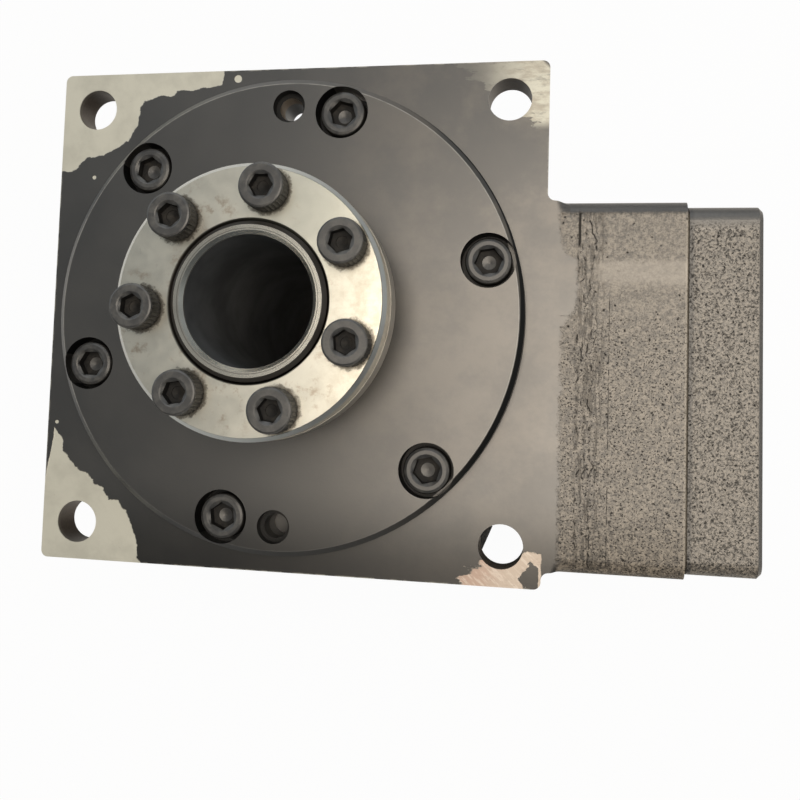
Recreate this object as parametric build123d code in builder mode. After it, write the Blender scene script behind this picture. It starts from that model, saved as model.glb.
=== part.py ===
from build123d import *
import math
import os

# Right angle gearbox: square mounting flange, hollow output shaft with a clamping disc, and a
# motor input at right angles whose axis passes beside the output axis.
# Frame: the origin is on the output axis in the mounting face, +Z points out of that face
# and +X points towards the motor.

# Fits
shaft_gap = 0.02
screw_gap = 0.05
seal_gap = 0.05
spigot_gap = 0.05
ball_gap = 0.06
through_gap = 0.25
head_gap = 0.3
end_gap = 0.2

# Cutters reach this far past the surface that they start from
cutter_overrun = 1.0

# Mounting flange and gear case
flange_margin = 4.0
flange_thickness = 8.0
flange_corner_radius = 1.5
flange_hole_inset = 8.04
flange_hole_radius = 4.5
bolt_access_radius = 7.0
case_wall = 3.5
case_left = 14.0
case_inset = 4.0
neck_lap = 1.0
case_corner_radius = 25.0
case_edge_chamfer = 1.5

# Input axis: its distance beside the output axis and its depth behind the mounting face
input_offset = 13.0
input_depth = 38.0

# Input neck, square about the input axis
neck_side = 75.2
neck_end_room = 12.5
neck_corner_radius = 3.0
neck_junction_radius = 1.5
machined_strip_width = 2.8
machined_strip_end = 2.0
machined_pad_reach = 6.3
machined_pad_low = 1.0
machined_pad_high = 12.5

# Front cover
cover_height = 5.5
cover_recess = 1.0
cover_edge_chamfer = 1.1
cover_screw_land = 6.0
cover_screw_count = 6
cover_screw_start = 15.0
cover_head_radius = 5.0
cover_head_height = 4.0
cover_head_sunk = 0.9
cover_screw_radius = 3.0
cover_screw_length = 8.0
cover_counterbore_radius = 5.6
cover_socket_width = 5.0
cover_socket_depth = 2.8
cover_head_chamfer = 0.9
jack_hole_radius = 2.5
jack_mouth_radius = 3.45
jack_mouth_depth = 2.5
jack_hole_count = 2
jack_hole_start = 90.0
jack_floor = 2.4
spigot_radius = 38.0
spigot_lip = 1.0
o_ring_radius = 0.95
o_ring_depth = 7.0
o_ring_room = 0.57

# Hollow output shaft
shaft_bore_radius = 12.5
clamp_seat_radius = 15.0
clamp_seat_start = 9.0
clamp_seat_step = 1.0
shaft_front = 30.5
journal_radius = 17.5
shoulder_radius = 20.5
shaft_end_chamfer = 0.8
bore_chamfer = 0.7
shaft_chamfer_share = 0.4
ring_overhang = 4.0
hub_flange_thickness = 7.0
rear_shoulder_length = 3.0
rear_step = 2.4
case_clearance = 1.5

# Output bearings and their seals
output_bearing_outer = 27.5
output_bearing_width = 10.0
output_ball_radius = 2.75
output_ball_count = 14
ring_reach_share = 0.58
bearing_edge = 0.5
cage_thickness = 1.2
cage_margin = 0.8
cage_pocket_gap = 0.15
output_seal_outer = 23.5
seal_width = 7.0
seal_ledge = 1.0
seal_ledge_lap = 2.5
seal_wall = 1.2
seal_web = 1.92
seal_lip_height = 1.6
seal_lip_thickness = 1.7
seal_edge = 0.4

# Gear pair: straight teeth along lines that pass the output axis at the input offset
ring_teeth = 36
pinion_teeth = 12
pressure_angle = 25.0
addendum = 0.8
dedendum = 1.0
backlash = 0.014
tooth_lean = 8.2
gap_overrun = 2.0
ring_clearance = 1.0
ring_face_width = 8.6
ring_mounting_distance = 20.0
ring_land_drop = 0.8
pinion_overhang = 0.9
ring_screw_count = 8
ring_screw_circle = 25.0
small_screw_radius = 2.0
small_head_radius = 3.5
small_head_height = 4.0
small_socket_width = 3.0
small_socket_depth = 2.0
small_head_chamfer = 0.3
ring_screw_length = 11.0

# Rear cover
rear_cover_radius = 38.0
rear_screw_circle = 32.5
rear_screw_count = 6
rear_screw_length = 11.0
rear_edge_chamfer = 1.0
rear_shaft_inset = 0.5

# Clamping disc on the hollow shaft
disc_radius = 26.0
disc_front = 30.0
disc_flange_thickness = 4.5
disc_slot = 1.2
disc_ring_thickness = 6.3
disc_sleeve_radius = 17.9
disc_sleeve_taper = 0.7
disc_edge_chamfer = 0.8
disc_bore_chamfer = 0.55
disc_screw_circle = 20.9
disc_screw_count = 7
disc_screw_start = 30.2
disc_screw_length = 11.5

# Input shaft, its bearings and seal
input_journal_radius = 10.0
input_collar_radius = 11.5
input_collar_width = 3.5
pinion_neck_radius = 9.5
pinion_neck_length = 1.96
input_bearing_outer = 23.5
input_bearing_width = 14.0
input_ball_radius = 3.97
input_ball_count = 8
pinion_passage_radius = 15.5
pinion_end_room = 1.0
housing_ring_width = 1.75
housing_ring_depth = 1.25
housing_ring_inner = 20.4
shaft_ring_width = 1.2
shaft_ring_depth = 0.7
shaft_ring_outer = 12.6
retaining_ring_gap = 6.0
input_seal_outer = 17.5

# Motor adapter and shaft clamp
gasket_thickness = 0.5
gasket_inset = 0.5
gasket_bore_room = 1.0
adapter_inset = 0.9
adapter_thickness = 14.0
adapter_chamfer = 0.8
adapter_spigot_length = 9.5
adapter_cavity_radius = 21.0
motor_pilot_radius = 25.0
motor_pilot_depth = 4.0
motor_bolt_circle = 35.0
motor_bolt_radius = 2.5
motor_bolt_depth = 11.0
motor_bolt_count = 4
motor_bolt_start = 45.0
adapter_screw_shift = 0.1
adapter_screw_count = 4
adapter_screw_length = 18.0
mid_screw_radius = 2.5
mid_head_radius = 4.25
mid_head_height = 5.0
mid_head_sunk = 0.5
mid_socket_width = 4.0
mid_socket_depth = 2.6
mid_head_chamfer = 0.45
screw_tip_share = 0.2
motor_shaft_radius = 7.0
motor_shaft_length = 30.0
clamp_ring_radius = 19.0
clamp_ring_width = 10.0
clamp_slit = 2.0
clamp_slot = 1.6
clamp_screw_height = 13.8
clamp_screw_length = 14.0
clamp_head_seat = 6.0
clamp_ring_chamfer = 0.5
access_hole_radius = 4.0
access_plug_flange = 5.5
access_plug_flange_thickness = 0.8
access_plug_length = 5.0

# Oil plug on the underside of the case
oil_plug_x = 23.0
oil_plug_radius = 5.0
oil_plug_length = 9.0
oil_plug_head_radius = 7.0
oil_plug_head_height = 3.0
oil_plug_socket_width = 5.0
oil_plug_socket_depth = 2.4
oil_plug_chamfer = 0.6
oil_washer_thickness = 1.0
oil_passage_radius = 3.0

# Sizes across the mounting face: each grows outwards from the bore of the case
cover_screw_circle = spigot_radius + cover_screw_land
cover_radius = cover_screw_circle + cover_screw_land
flange_side = 2 * (cover_radius + flange_margin)
flange_hole_spacing = flange_side - 2 * flange_hole_inset
case_radius = spigot_radius + case_wall

# Sizes across the motor adapter, which stands back a little from the neck on every side. Its
# screws lie about midway between the bearing bore and the sides.
adapter_side = neck_side - 2 * adapter_inset
adapter_screw_circle = (input_bearing_outer + adapter_side / 2) / 2 - adapter_screw_shift

# Places along the output axis, worked out from the sizes above
input_y = -input_offset
input_z = -input_depth
neck_back = input_z - neck_side / 2
front_seal_back = cover_height - seal_width
front_bearing_front = front_seal_back - seal_ledge
front_bearing_back = front_bearing_front - output_bearing_width
spigot_back = front_bearing_back - spigot_lip
ring_back = input_z - ring_mounting_distance
hub_flange_back = ring_back - hub_flange_thickness
cavity_back = hub_flange_back - case_clearance
rear_bearing_front = min(
    hub_flange_back - rear_shoulder_length,
    neck_back - rear_step + output_bearing_width,
)
rear_bearing_back = rear_bearing_front - output_bearing_width
case_back = rear_bearing_back
rear_face = case_back - seal_ledge - seal_width
shaft_rear = rear_face + rear_shaft_inset
cover_screw_seat = cover_height - cover_head_sunk - cover_head_height
rear_seat = rear_face + small_head_height + end_gap

# Gear geometry: a tooth line starts at the point of the input axis nearest the output axis, and
# every size of a tooth grows in proportion to the distance along that line.
lean = math.radians(tooth_lean)
gear_ratio = pinion_teeth / ring_teeth
pinion_slope = gear_ratio / math.cos(lean)
ring_slope = pinion_slope / math.cos(lean)
pinion_turn = lean - math.tan(lean)
module_per_length = 2 * pinion_slope / pinion_teeth
ring_outer = spigot_radius - ring_clearance
hub_flange_radius = ring_outer - ring_overhang
tooth_end = math.sqrt(ring_outer**2 - input_offset**2)
tooth_start = tooth_end - ring_face_width
ring_inner = math.hypot(tooth_start, input_offset)
flank = math.tan(math.radians(pressure_angle))

# Places along the input axis
pinion_front = tooth_start - pinion_overhang
pinion_back = tooth_end + pinion_overhang
input_shoulder_x = round(pinion_back + pinion_neck_length + input_collar_width, 1)
bearing_pair_end = input_shoulder_x + 2 * input_bearing_width
neck_end = bearing_pair_end + neck_end_room
adapter_back = neck_end + gasket_thickness
adapter_front = adapter_back + adapter_thickness
adapter_spigot_start = adapter_back - adapter_spigot_length
input_seal_start = adapter_spigot_start + seal_ledge
pilot_floor = adapter_front - motor_pilot_depth
clamp_start = pilot_floor - clamp_ring_width
input_axis_plane = Plane(origin=(0, input_y, input_z), x_dir=(0, 1, 0), z_dir=(1, 0, 0))

os.makedirs("parts", exist_ok=True)


def on_input_axis(x):
    """Place at distance x along the input axis, with local Z pointing towards the motor."""
    return input_axis_plane.location * Location((0, 0, x))


def cap_screw(radius, length, head_radius, head_height, socket, socket_depth, edge):
    """Socket head screw along Z, its head above the plane of its seat and its shank below."""
    with BuildPart() as screw:
        with BuildSketch():
            Circle(head_radius)
        extrude(amount=head_height)
        chamfer(screw.edges().filter_by(GeomType.CIRCLE).sort_by(Axis.Z)[-1], edge)
        with BuildSketch():
            Circle(radius)
        extrude(amount=-length)
        chamfer(screw.edges().filter_by(GeomType.CIRCLE).sort_by(Axis.Z)[0], screw_tip_share * radius)
        with BuildSketch(Plane.XY.offset(head_height)):
            RegularPolygon(socket / 2, 6, major_radius=False)
        extrude(amount=-socket_depth, mode=Mode.SUBTRACT)
    return screw.part


def small_screw(length):
    """Small socket head screw of the length given."""
    return cap_screw(small_screw_radius, length, small_head_radius, small_head_height,
                     small_socket_width, small_socket_depth, small_head_chamfer)


def mid_screw(length):
    """Middle-sized socket head screw of the length given."""
    return cap_screw(mid_screw_radius, length, mid_head_radius, mid_head_height,
                     mid_socket_width, mid_socket_depth, mid_head_chamfer)


def ball_bearing(name, place, inner_radius, outer_radius, width, ball_radius, ball_count):
    """Write the rings, balls and cage of one deep groove bearing that starts at the place given."""
    pitch_radius = (inner_radius + outer_radius) / 2
    ring_reach = ball_radius * ring_reach_share
    groove_radius = ball_radius + ball_gap
    with BuildPart() as outer_ring:
        with BuildSketch(Plane.XZ):
            with Locations(((pitch_radius + ring_reach + outer_radius) / 2, width / 2)):
                Rectangle(outer_radius - pitch_radius - ring_reach, width)
            with Locations((pitch_radius, width / 2)):
                Circle(groove_radius, mode=Mode.SUBTRACT)
        revolve(axis=Axis.Z)
        circles = outer_ring.edges().filter_by(GeomType.CIRCLE)
        chamfer(circles.sort_by(SortBy.RADIUS)[-2:], bearing_edge)
    with BuildPart() as inner_ring:
        with BuildSketch(Plane.XZ):
            with Locations(((pitch_radius - ring_reach + inner_radius) / 2, width / 2)):
                Rectangle(pitch_radius - ring_reach - inner_radius - shaft_gap * 2, width)
            with Locations((pitch_radius, width / 2)):
                Circle(groove_radius, mode=Mode.SUBTRACT)
        revolve(axis=Axis.Z)
    with BuildPart() as cage:
        cage_width = 2 * (ball_radius + cage_margin)
        with BuildSketch(Plane.XY.offset((width - cage_width) / 2)):
            Circle(pitch_radius + cage_thickness / 2)
            Circle(pitch_radius - cage_thickness / 2, mode=Mode.SUBTRACT)
        extrude(amount=cage_width)
        with Locations((0, 0, width / 2)):
            with PolarLocations(pitch_radius, ball_count):
                Cylinder(
                    ball_radius + cage_pocket_gap,
                    3 * cage_thickness,
                    rotation=(0, 90, 0),
                    mode=Mode.SUBTRACT,
                )
    with BuildPart() as balls:
        with Locations((0, 0, width / 2)):
            with PolarLocations(pitch_radius, ball_count):
                Sphere(ball_radius)
    pieces = {"outer_ring": outer_ring, "inner_ring": inner_ring, "cage": cage, "balls": balls}
    for piece_name, piece in pieces.items():
        placed = piece.part.moved(place)
        placed.label = f"{name}_{piece_name}"
        export_step(placed, f"parts/{name}_{piece_name}.step")


def oil_seal(shaft_radius, outer_radius):
    """Lip seal along Z from 0 to its width, open towards the oil at Z = 0."""
    lip_root = shaft_radius + seal_lip_thickness
    inside = outer_radius - seal_wall
    back = seal_width - seal_edge / 2
    with BuildPart() as seal:
        with BuildSketch(Plane.XZ):
            with BuildLine():
                Polyline(
                    (shaft_radius + seal_gap, seal_lip_height),
                    (lip_root - seal_edge / 2, seal_edge),
                    (lip_root + seal_edge, seal_edge),
                    (lip_root, seal_width - seal_wall),
                    (inside, seal_width - seal_wall),
                    (inside, seal_edge),
                    (outer_radius, seal_edge),
                    (outer_radius, back),
                    (shaft_radius + seal_wall / 2, back),
                    (lip_root - seal_wall / 2, seal_width - seal_web),
                    (shaft_radius + seal_gap, seal_lip_height),
                )
            make_face()
        revolve(axis=Axis.Z)
    return seal.part


def pinion_outline(x):
    """Draw the pinion's section at distance x: involute teeth, one of them pointing down."""
    pitch = x * pinion_slope
    module = x * module_per_length
    base = pitch * math.cos(math.radians(pressure_angle))
    root = pitch - dedendum * module
    tip = pitch + addendum * module
    alpha = math.radians(pressure_angle)
    spread = math.pi / (2 * pinion_teeth) + math.tan(alpha) - alpha

    def half_angle(radius):
        here = math.acos(min(1.0, base / radius))
        return spread - math.tan(here) + here

    def spot(radius, angle):
        return (radius * math.cos(angle), radius * math.sin(angle))

    middle = (base + tip) / 2
    step = 2 * math.pi / pinion_teeth
    for tooth in range(pinion_teeth):
        centre = -math.pi / 2 + pinion_turn + tooth * step
        foot = half_angle(base)
        low = half_angle(middle)
        top = half_angle(tip)
        Line(spot(root, centre - foot), spot(base, centre - foot))
        ThreePointArc(spot(base, centre - foot), spot(middle, centre - low), spot(tip, centre - top))
        ThreePointArc(spot(tip, centre - top), spot(tip, centre), spot(tip, centre + top))
        ThreePointArc(spot(tip, centre + top), spot(middle, centre + low), spot(base, centre + foot))
        Line(spot(base, centre + foot), spot(root, centre + foot))
        gap_middle = centre + step / 2
        ThreePointArc(spot(root, centre + foot), spot(root, gap_middle), spot(root, centre + step - foot))


def ring_gap_corners(x):
    """Corners of one tooth gap of the ring gear, in the plane at distance x across the tooth line."""
    half_pitch_gap = math.pi / ring_teeth / 2 / math.cos(lean) + backlash / 2
    low = -dedendum * module_per_length
    high = 2 * addendum * module_per_length
    corners = []
    for side, height in ((-1, low), (1, low), (1, high), (-1, high)):
        width = half_pitch_gap + height * flank
        across = side * width * math.cos(lean) - height * math.sin(lean)
        along = side * width * math.sin(lean) + height * math.cos(lean)
        corners.append((across * x, (along - ring_slope) * x))
    return corners


# Gear case with its flange and input neck
with BuildPart() as housing:
    with BuildSketch():
        RectangleRounded(flange_side, flange_side, flange_corner_radius)
    extrude(amount=-flange_thickness)
    neck_top = input_y + neck_side / 2
    neck_bottom = input_y - neck_side / 2
    case_right = flange_side / 2 - case_inset
    with BuildSketch(Plane.XY.offset(-flange_thickness)):
        with Locations(((case_right - case_left) / 2, input_y)):
            box_outline = Rectangle(case_right + case_left, neck_side)
        fillet(box_outline.vertices().group_by(Axis.X)[0].sort_by(Axis.Y)[0], case_corner_radius)
    extrude(amount=neck_back + flange_thickness)
    with BuildSketch(Plane.XZ):
        with BuildLine():
            Polyline(
                (0, -flange_thickness),
                (case_radius, -flange_thickness),
                (case_radius, case_back + case_edge_chamfer),
                (case_radius - case_edge_chamfer, case_back),
                (0, case_back),
                (0, -flange_thickness),
            )
        make_face()
    revolve(axis=Axis.Z)
    with BuildSketch(Plane.YZ.offset(case_right - neck_lap)):
        with Locations((input_y, input_z)):
            RectangleRounded(neck_side, neck_side, neck_corner_radius)
    extrude(amount=neck_end - case_right + neck_lap)
    # Bolt access behind the flange hole that the neck would cover
    with BuildSketch(Plane.XY.offset(-flange_thickness)):
        with Locations((flange_hole_spacing / 2, -flange_hole_spacing / 2)):
            Circle(bolt_access_radius)
    extrude(amount=case_back, mode=Mode.SUBTRACT)
    # The flange's machined face runs on over a strip and a pad of the neck's cast front
    neck_front = input_z + neck_side / 2
    with BuildSketch(Plane.XY.offset(neck_front)):
        with Locations((flange_side / 2 + machined_strip_width / 2, input_y)):
            Rectangle(machined_strip_width, neck_side - 2 * machined_strip_end)
        pad_middle = (machined_pad_low + machined_pad_high) / 2
        with Locations((flange_side / 2 + machined_pad_reach / 2, pad_middle)):
            Rectangle(machined_pad_reach, machined_pad_high - machined_pad_low)
    extrude(amount=-neck_front)
    # Rounded corners between the flange's side and the neck, top and bottom
    for side, level in ((1, neck_top), (-1, neck_bottom)):
        round_centre = (flange_side / 2 + neck_junction_radius, level + side * neck_junction_radius)
        with BuildSketch(Plane.XY.offset(-flange_thickness)):
            with Locations((flange_side / 2 + neck_junction_radius / 2, level)):
                Rectangle(neck_junction_radius, 2 * neck_junction_radius)
            with Locations(round_centre):
                Circle(neck_junction_radius, mode=Mode.SUBTRACT)
        extrude(amount=flange_thickness)
    # Flange bolt holes
    with Locations((0, 0, -flange_thickness / 2)):
        with GridLocations(flange_hole_spacing, flange_hole_spacing, 2, 2):
            Cylinder(flange_hole_radius, 2 * flange_thickness, mode=Mode.SUBTRACT)
    # Recess and bore for the front cover, and the gear chamber behind them
    with BuildSketch():
        Circle(cover_radius + spigot_gap)
    extrude(amount=-cover_recess, mode=Mode.SUBTRACT)
    with BuildSketch():
        Circle(spigot_radius + spigot_gap)
    extrude(amount=cavity_back, mode=Mode.SUBTRACT)
    with BuildSketch(Plane.XY.offset(cavity_back)):
        Circle(output_bearing_outer - seal_ledge_lap)
    extrude(amount=case_back - cavity_back, mode=Mode.SUBTRACT)
    with BuildSketch(Plane.XY.offset(rear_bearing_front)):
        Circle(output_bearing_outer + shaft_gap)
    extrude(amount=case_back - rear_bearing_front, mode=Mode.SUBTRACT)
    # Pinion passage and input bearing bore
    with BuildSketch(input_axis_plane.offset(pinion_front - pinion_end_room)):
        Circle(pinion_passage_radius)
    extrude(amount=input_shoulder_x - pinion_front + pinion_end_room, mode=Mode.SUBTRACT)
    with BuildSketch(input_axis_plane.offset(input_shoulder_x)):
        Circle(input_bearing_outer + shaft_gap)
    extrude(amount=neck_end - input_shoulder_x, mode=Mode.SUBTRACT)
    with BuildSketch(input_axis_plane.offset(bearing_pair_end)):
        Circle(input_bearing_outer + housing_ring_depth)
    extrude(amount=housing_ring_width, mode=Mode.SUBTRACT)
    # Threaded holes: front cover, rear cover and motor adapter
    with BuildSketch():
        with PolarLocations(cover_screw_circle, cover_screw_count, cover_screw_start):
            Circle(cover_screw_radius + screw_gap)
    extrude(amount=cover_screw_seat - cover_screw_length - end_gap, mode=Mode.SUBTRACT)
    rear_seat_depth = case_back - rear_seat
    with BuildSketch(Plane.XY.offset(case_back)):
        with PolarLocations(rear_screw_circle, rear_screw_count):
            Circle(small_screw_radius + screw_gap)
    extrude(amount=rear_screw_length - rear_seat_depth + end_gap, mode=Mode.SUBTRACT)
    with BuildSketch(input_axis_plane.offset(neck_end)):
        with PolarLocations(adapter_screw_circle, adapter_screw_count):
            Circle(mid_screw_radius + screw_gap)
    adapter_thread = adapter_screw_length - adapter_thickness - gasket_thickness
    adapter_thread = adapter_thread + mid_head_height + mid_head_sunk + end_gap
    extrude(amount=-adapter_thread, mode=Mode.SUBTRACT)
    # Holes under the cover's jack holes: right through at the top, blind at the bottom
    with BuildSketch():
        with Locations((0, cover_screw_circle)):
            Circle(jack_hole_radius)
    extrude(amount=-flange_thickness, mode=Mode.SUBTRACT)
    with BuildSketch():
        with Locations((0, -cover_screw_circle)):
            Circle(jack_hole_radius)
    extrude(amount=jack_floor - flange_thickness, mode=Mode.SUBTRACT)
    # Oil plug hole, and its passage into the gear chamber
    oil_plane = Plane(origin=(oil_plug_x, neck_bottom, input_z), x_dir=(1, 0, 0), z_dir=(0, 1, 0))
    with BuildSketch(oil_plane):
        Circle(oil_plug_radius + screw_gap)
    extrude(amount=oil_plug_length + end_gap, mode=Mode.SUBTRACT)
    with BuildSketch(oil_plane):
        Circle(oil_passage_radius)
    extrude(amount=-neck_bottom, mode=Mode.SUBTRACT)
housing.part.label = "housing"
export_step(housing.part, "parts/housing.step")

# Front cover
with BuildPart() as front_cover:
    with BuildSketch(Plane.XY.offset(-cover_recess)):
        Circle(cover_radius)
    extrude(amount=cover_height + cover_recess)
    chamfer(front_cover.edges().group_by(Axis.Z)[-1], cover_edge_chamfer)
    with BuildSketch(Plane.XY.offset(-cover_recess)):
        Circle(spigot_radius)
    extrude(amount=spigot_back + cover_recess)
    with BuildSketch(Plane.XY.offset(cover_height)):
        Circle(output_seal_outer + shaft_gap)
    extrude(amount=-seal_width, mode=Mode.SUBTRACT)
    with BuildSketch(Plane.XY.offset(front_seal_back)):
        Circle(output_seal_outer - seal_ledge_lap)
    extrude(amount=spigot_back - front_seal_back, mode=Mode.SUBTRACT)
    with BuildSketch(Plane.XY.offset(front_bearing_front)):
        Circle(output_bearing_outer + shaft_gap)
    extrude(amount=spigot_back - front_bearing_front, mode=Mode.SUBTRACT)
    groove_width = 2 * o_ring_radius + o_ring_room
    with BuildSketch(Plane.XY.offset(-o_ring_depth - groove_width / 2)):
        Circle(spigot_radius + cutter_overrun)
        Circle(spigot_radius - 2 * o_ring_radius, mode=Mode.SUBTRACT)
    extrude(amount=groove_width, mode=Mode.SUBTRACT)
    with BuildSketch(Plane.XY.offset(cover_height)):
        with PolarLocations(cover_screw_circle, cover_screw_count, cover_screw_start):
            Circle(cover_counterbore_radius)
    extrude(amount=cover_screw_seat - cover_height, mode=Mode.SUBTRACT)
    with BuildSketch(Plane.XY.offset(cover_height)):
        with PolarLocations(cover_screw_circle, cover_screw_count, cover_screw_start):
            Circle(cover_screw_radius + through_gap)
        with PolarLocations(cover_screw_circle, jack_hole_count, jack_hole_start):
            Circle(jack_hole_radius)
    extrude(amount=-cover_height - cover_recess, mode=Mode.SUBTRACT)
    with BuildSketch(Plane.XY.offset(cover_height)):
        with PolarLocations(cover_screw_circle, jack_hole_count, jack_hole_start):
            Circle(jack_mouth_radius)
    extrude(amount=-jack_mouth_depth, mode=Mode.SUBTRACT)
front_cover.part.label = "front_cover"
export_step(front_cover.part, "parts/front_cover.step")

with BuildPart() as front_cover_screws:
    with Locations((0, 0, cover_screw_seat)):
        with PolarLocations(cover_screw_circle, cover_screw_count, cover_screw_start):
            add(
                cap_screw(
                    cover_screw_radius,
                    cover_screw_length,
                    cover_head_radius,
                    cover_head_height,
                    cover_socket_width,
                    cover_socket_depth,
                    cover_head_chamfer,
                )
            )
front_cover_screws.part.label = "front_cover_screws"
export_step(front_cover_screws.part, "parts/front_cover_screws.step")

with BuildPart() as front_cover_o_ring:
    with Locations((0, 0, -o_ring_depth)):
        Torus(spigot_radius + spigot_gap - o_ring_radius - shaft_gap, o_ring_radius)
front_cover_o_ring.part.label = "front_cover_o_ring"
export_step(front_cover_o_ring.part, "parts/front_cover_o_ring.step")

# Seals and bearings of the hollow shaft
output_seal = oil_seal(journal_radius, output_seal_outer)
front_oil_seal = output_seal.moved(Location((0, 0, front_seal_back)))
front_oil_seal.label = "front_oil_seal"
export_step(front_oil_seal, "parts/front_oil_seal.step")
rear_oil_seal = output_seal.moved(Location((0, 0, rear_face + seal_width), (180, 0, 0)))
rear_oil_seal.label = "rear_oil_seal"
export_step(rear_oil_seal, "parts/rear_oil_seal.step")

for side, start in (("front", front_bearing_back), ("rear", rear_bearing_back)):
    ball_bearing(
        f"{side}_bearing",
        Location((0, 0, start)),
        journal_radius,
        output_bearing_outer,
        output_bearing_width,
        output_ball_radius,
        output_ball_count,
    )

# Hollow output shaft with the flange that carries the ring gear
shaft_wall = clamp_seat_radius - shaft_bore_radius
outer_chamfer = min(shaft_end_chamfer, shaft_chamfer_share * shaft_wall)
inner_chamfer = min(bore_chamfer, shaft_chamfer_share * shaft_wall)
with BuildPart() as hollow_shaft:
    with BuildSketch(Plane.XZ):
        with BuildLine():
            Polyline(
                (shaft_bore_radius, shaft_rear),
                (journal_radius, shaft_rear),
                (journal_radius, rear_bearing_front),
                (shoulder_radius, rear_bearing_front),
                (shoulder_radius, hub_flange_back),
                (hub_flange_radius, hub_flange_back),
                (hub_flange_radius, ring_back),
                (shoulder_radius, ring_back),
                (shoulder_radius, front_bearing_back),
                (journal_radius, front_bearing_back),
                (journal_radius, clamp_seat_start),
                (clamp_seat_radius, clamp_seat_start + clamp_seat_step),
                (clamp_seat_radius, shaft_front - outer_chamfer),
                (clamp_seat_radius - outer_chamfer, shaft_front),
                (shaft_bore_radius + inner_chamfer, shaft_front),
                (shaft_bore_radius, shaft_front - inner_chamfer),
                (shaft_bore_radius, shaft_rear),
            )
        make_face()
    revolve(axis=Axis.Z)
    with BuildSketch(Plane.XY.offset(hub_flange_back)):
        with PolarLocations(ring_screw_circle, ring_screw_count):
            Circle(small_head_radius + head_gap)
    extrude(amount=small_head_height + end_gap, mode=Mode.SUBTRACT)
    with BuildSketch(Plane.XY.offset(hub_flange_back)):
        with PolarLocations(ring_screw_circle, ring_screw_count):
            Circle(small_screw_radius + through_gap)
    extrude(amount=hub_flange_thickness, mode=Mode.SUBTRACT)
hollow_shaft.part.label = "hollow_shaft"
export_step(hollow_shaft.part, "parts/hollow_shaft.step")

# Ring gear
with BuildPart() as tooth_gap:
    for x in (tooth_start - gap_overrun, tooth_end + gap_overrun):
        with BuildSketch(input_axis_plane.offset(x)):
            Polygon(*ring_gap_corners(x), align=None)
    loft(ruled=True)

with BuildPart() as ring_gear:
    tip_slope = addendum * module_per_length - ring_slope
    root_slope = -dedendum * module_per_length - ring_slope
    land = input_z + root_slope * tooth_start - ring_land_drop
    with BuildSketch(Plane.XZ):
        with BuildLine():
            Polyline(
                (shoulder_radius + shaft_gap, ring_back),
                (ring_outer, ring_back),
                (ring_outer, input_z + tip_slope * tooth_end),
                (ring_inner, input_z + tip_slope * tooth_start),
                (ring_inner - ring_land_drop, land),
                (shoulder_radius + shaft_gap, land),
                (shoulder_radius + shaft_gap, ring_back),
            )
        make_face()
    revolve(axis=Axis.Z)
    with PolarLocations(0, ring_teeth):
        add(tooth_gap.part, mode=Mode.SUBTRACT)
    with BuildSketch(Plane.XY.offset(ring_back)):
        with PolarLocations(ring_screw_circle, ring_screw_count):
            Circle(small_screw_radius + screw_gap)
    extrude(amount=land - ring_back, mode=Mode.SUBTRACT)
ring_gear.part.label = "ring_gear"
export_step(ring_gear.part, "parts/ring_gear.step")

with BuildPart() as ring_gear_screws:
    with Locations(Location((0, 0, hub_flange_back + small_head_height + end_gap), (180, 0, 0))):
        with PolarLocations(ring_screw_circle, ring_screw_count):
            add(small_screw(ring_screw_length))
ring_gear_screws.part.label = "ring_gear_screws"
export_step(ring_gear_screws.part, "parts/ring_gear_screws.step")

# Rear cover
with BuildPart() as rear_cover:
    with BuildSketch(Plane.XY.offset(rear_face)):
        Circle(rear_cover_radius)
    extrude(amount=case_back - rear_face)
    chamfer(rear_cover.edges().group_by(Axis.Z)[0], rear_edge_chamfer)
    with BuildSketch(Plane.XY.offset(rear_face)):
        Circle(output_seal_outer + shaft_gap)
    extrude(amount=seal_width, mode=Mode.SUBTRACT)
    with BuildSketch(Plane.XY.offset(rear_face)):
        Circle(output_seal_outer - seal_ledge_lap)
    extrude(amount=case_back - rear_face, mode=Mode.SUBTRACT)
    with BuildSketch(Plane.XY.offset(rear_face)):
        with PolarLocations(rear_screw_circle, rear_screw_count):
            Circle(small_head_radius + head_gap)
    extrude(amount=rear_seat - rear_face, mode=Mode.SUBTRACT)
    with BuildSketch(Plane.XY.offset(rear_face)):
        with PolarLocations(rear_screw_circle, rear_screw_count):
            Circle(small_screw_radius + through_gap)
    extrude(amount=case_back - rear_face, mode=Mode.SUBTRACT)
rear_cover.part.label = "rear_cover"
export_step(rear_cover.part, "parts/rear_cover.step")

with BuildPart() as rear_cover_screws:
    with Locations(Location((0, 0, rear_seat), (180, 0, 0))):
        with PolarLocations(rear_screw_circle, rear_screw_count):
            add(small_screw(rear_screw_length))
rear_cover_screws.part.label = "rear_cover_screws"
export_step(rear_cover_screws.part, "parts/rear_cover_screws.step")

# Clamping disc: a flanged hub with a tapered sleeve, and the ring that the screws pull onto it
disc_flange_back = disc_front - disc_flange_thickness
disc_ring_front = disc_flange_back - disc_slot
disc_ring_back = disc_ring_front - disc_ring_thickness
disc_taper_length = disc_flange_back - disc_ring_back
sleeve_end_radius = disc_sleeve_radius - disc_sleeve_taper


def sleeve_radius_at(z):
    """Radius of the tapered sleeve at height z."""
    return disc_sleeve_radius - disc_sleeve_taper * (disc_flange_back - z) / disc_taper_length


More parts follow.
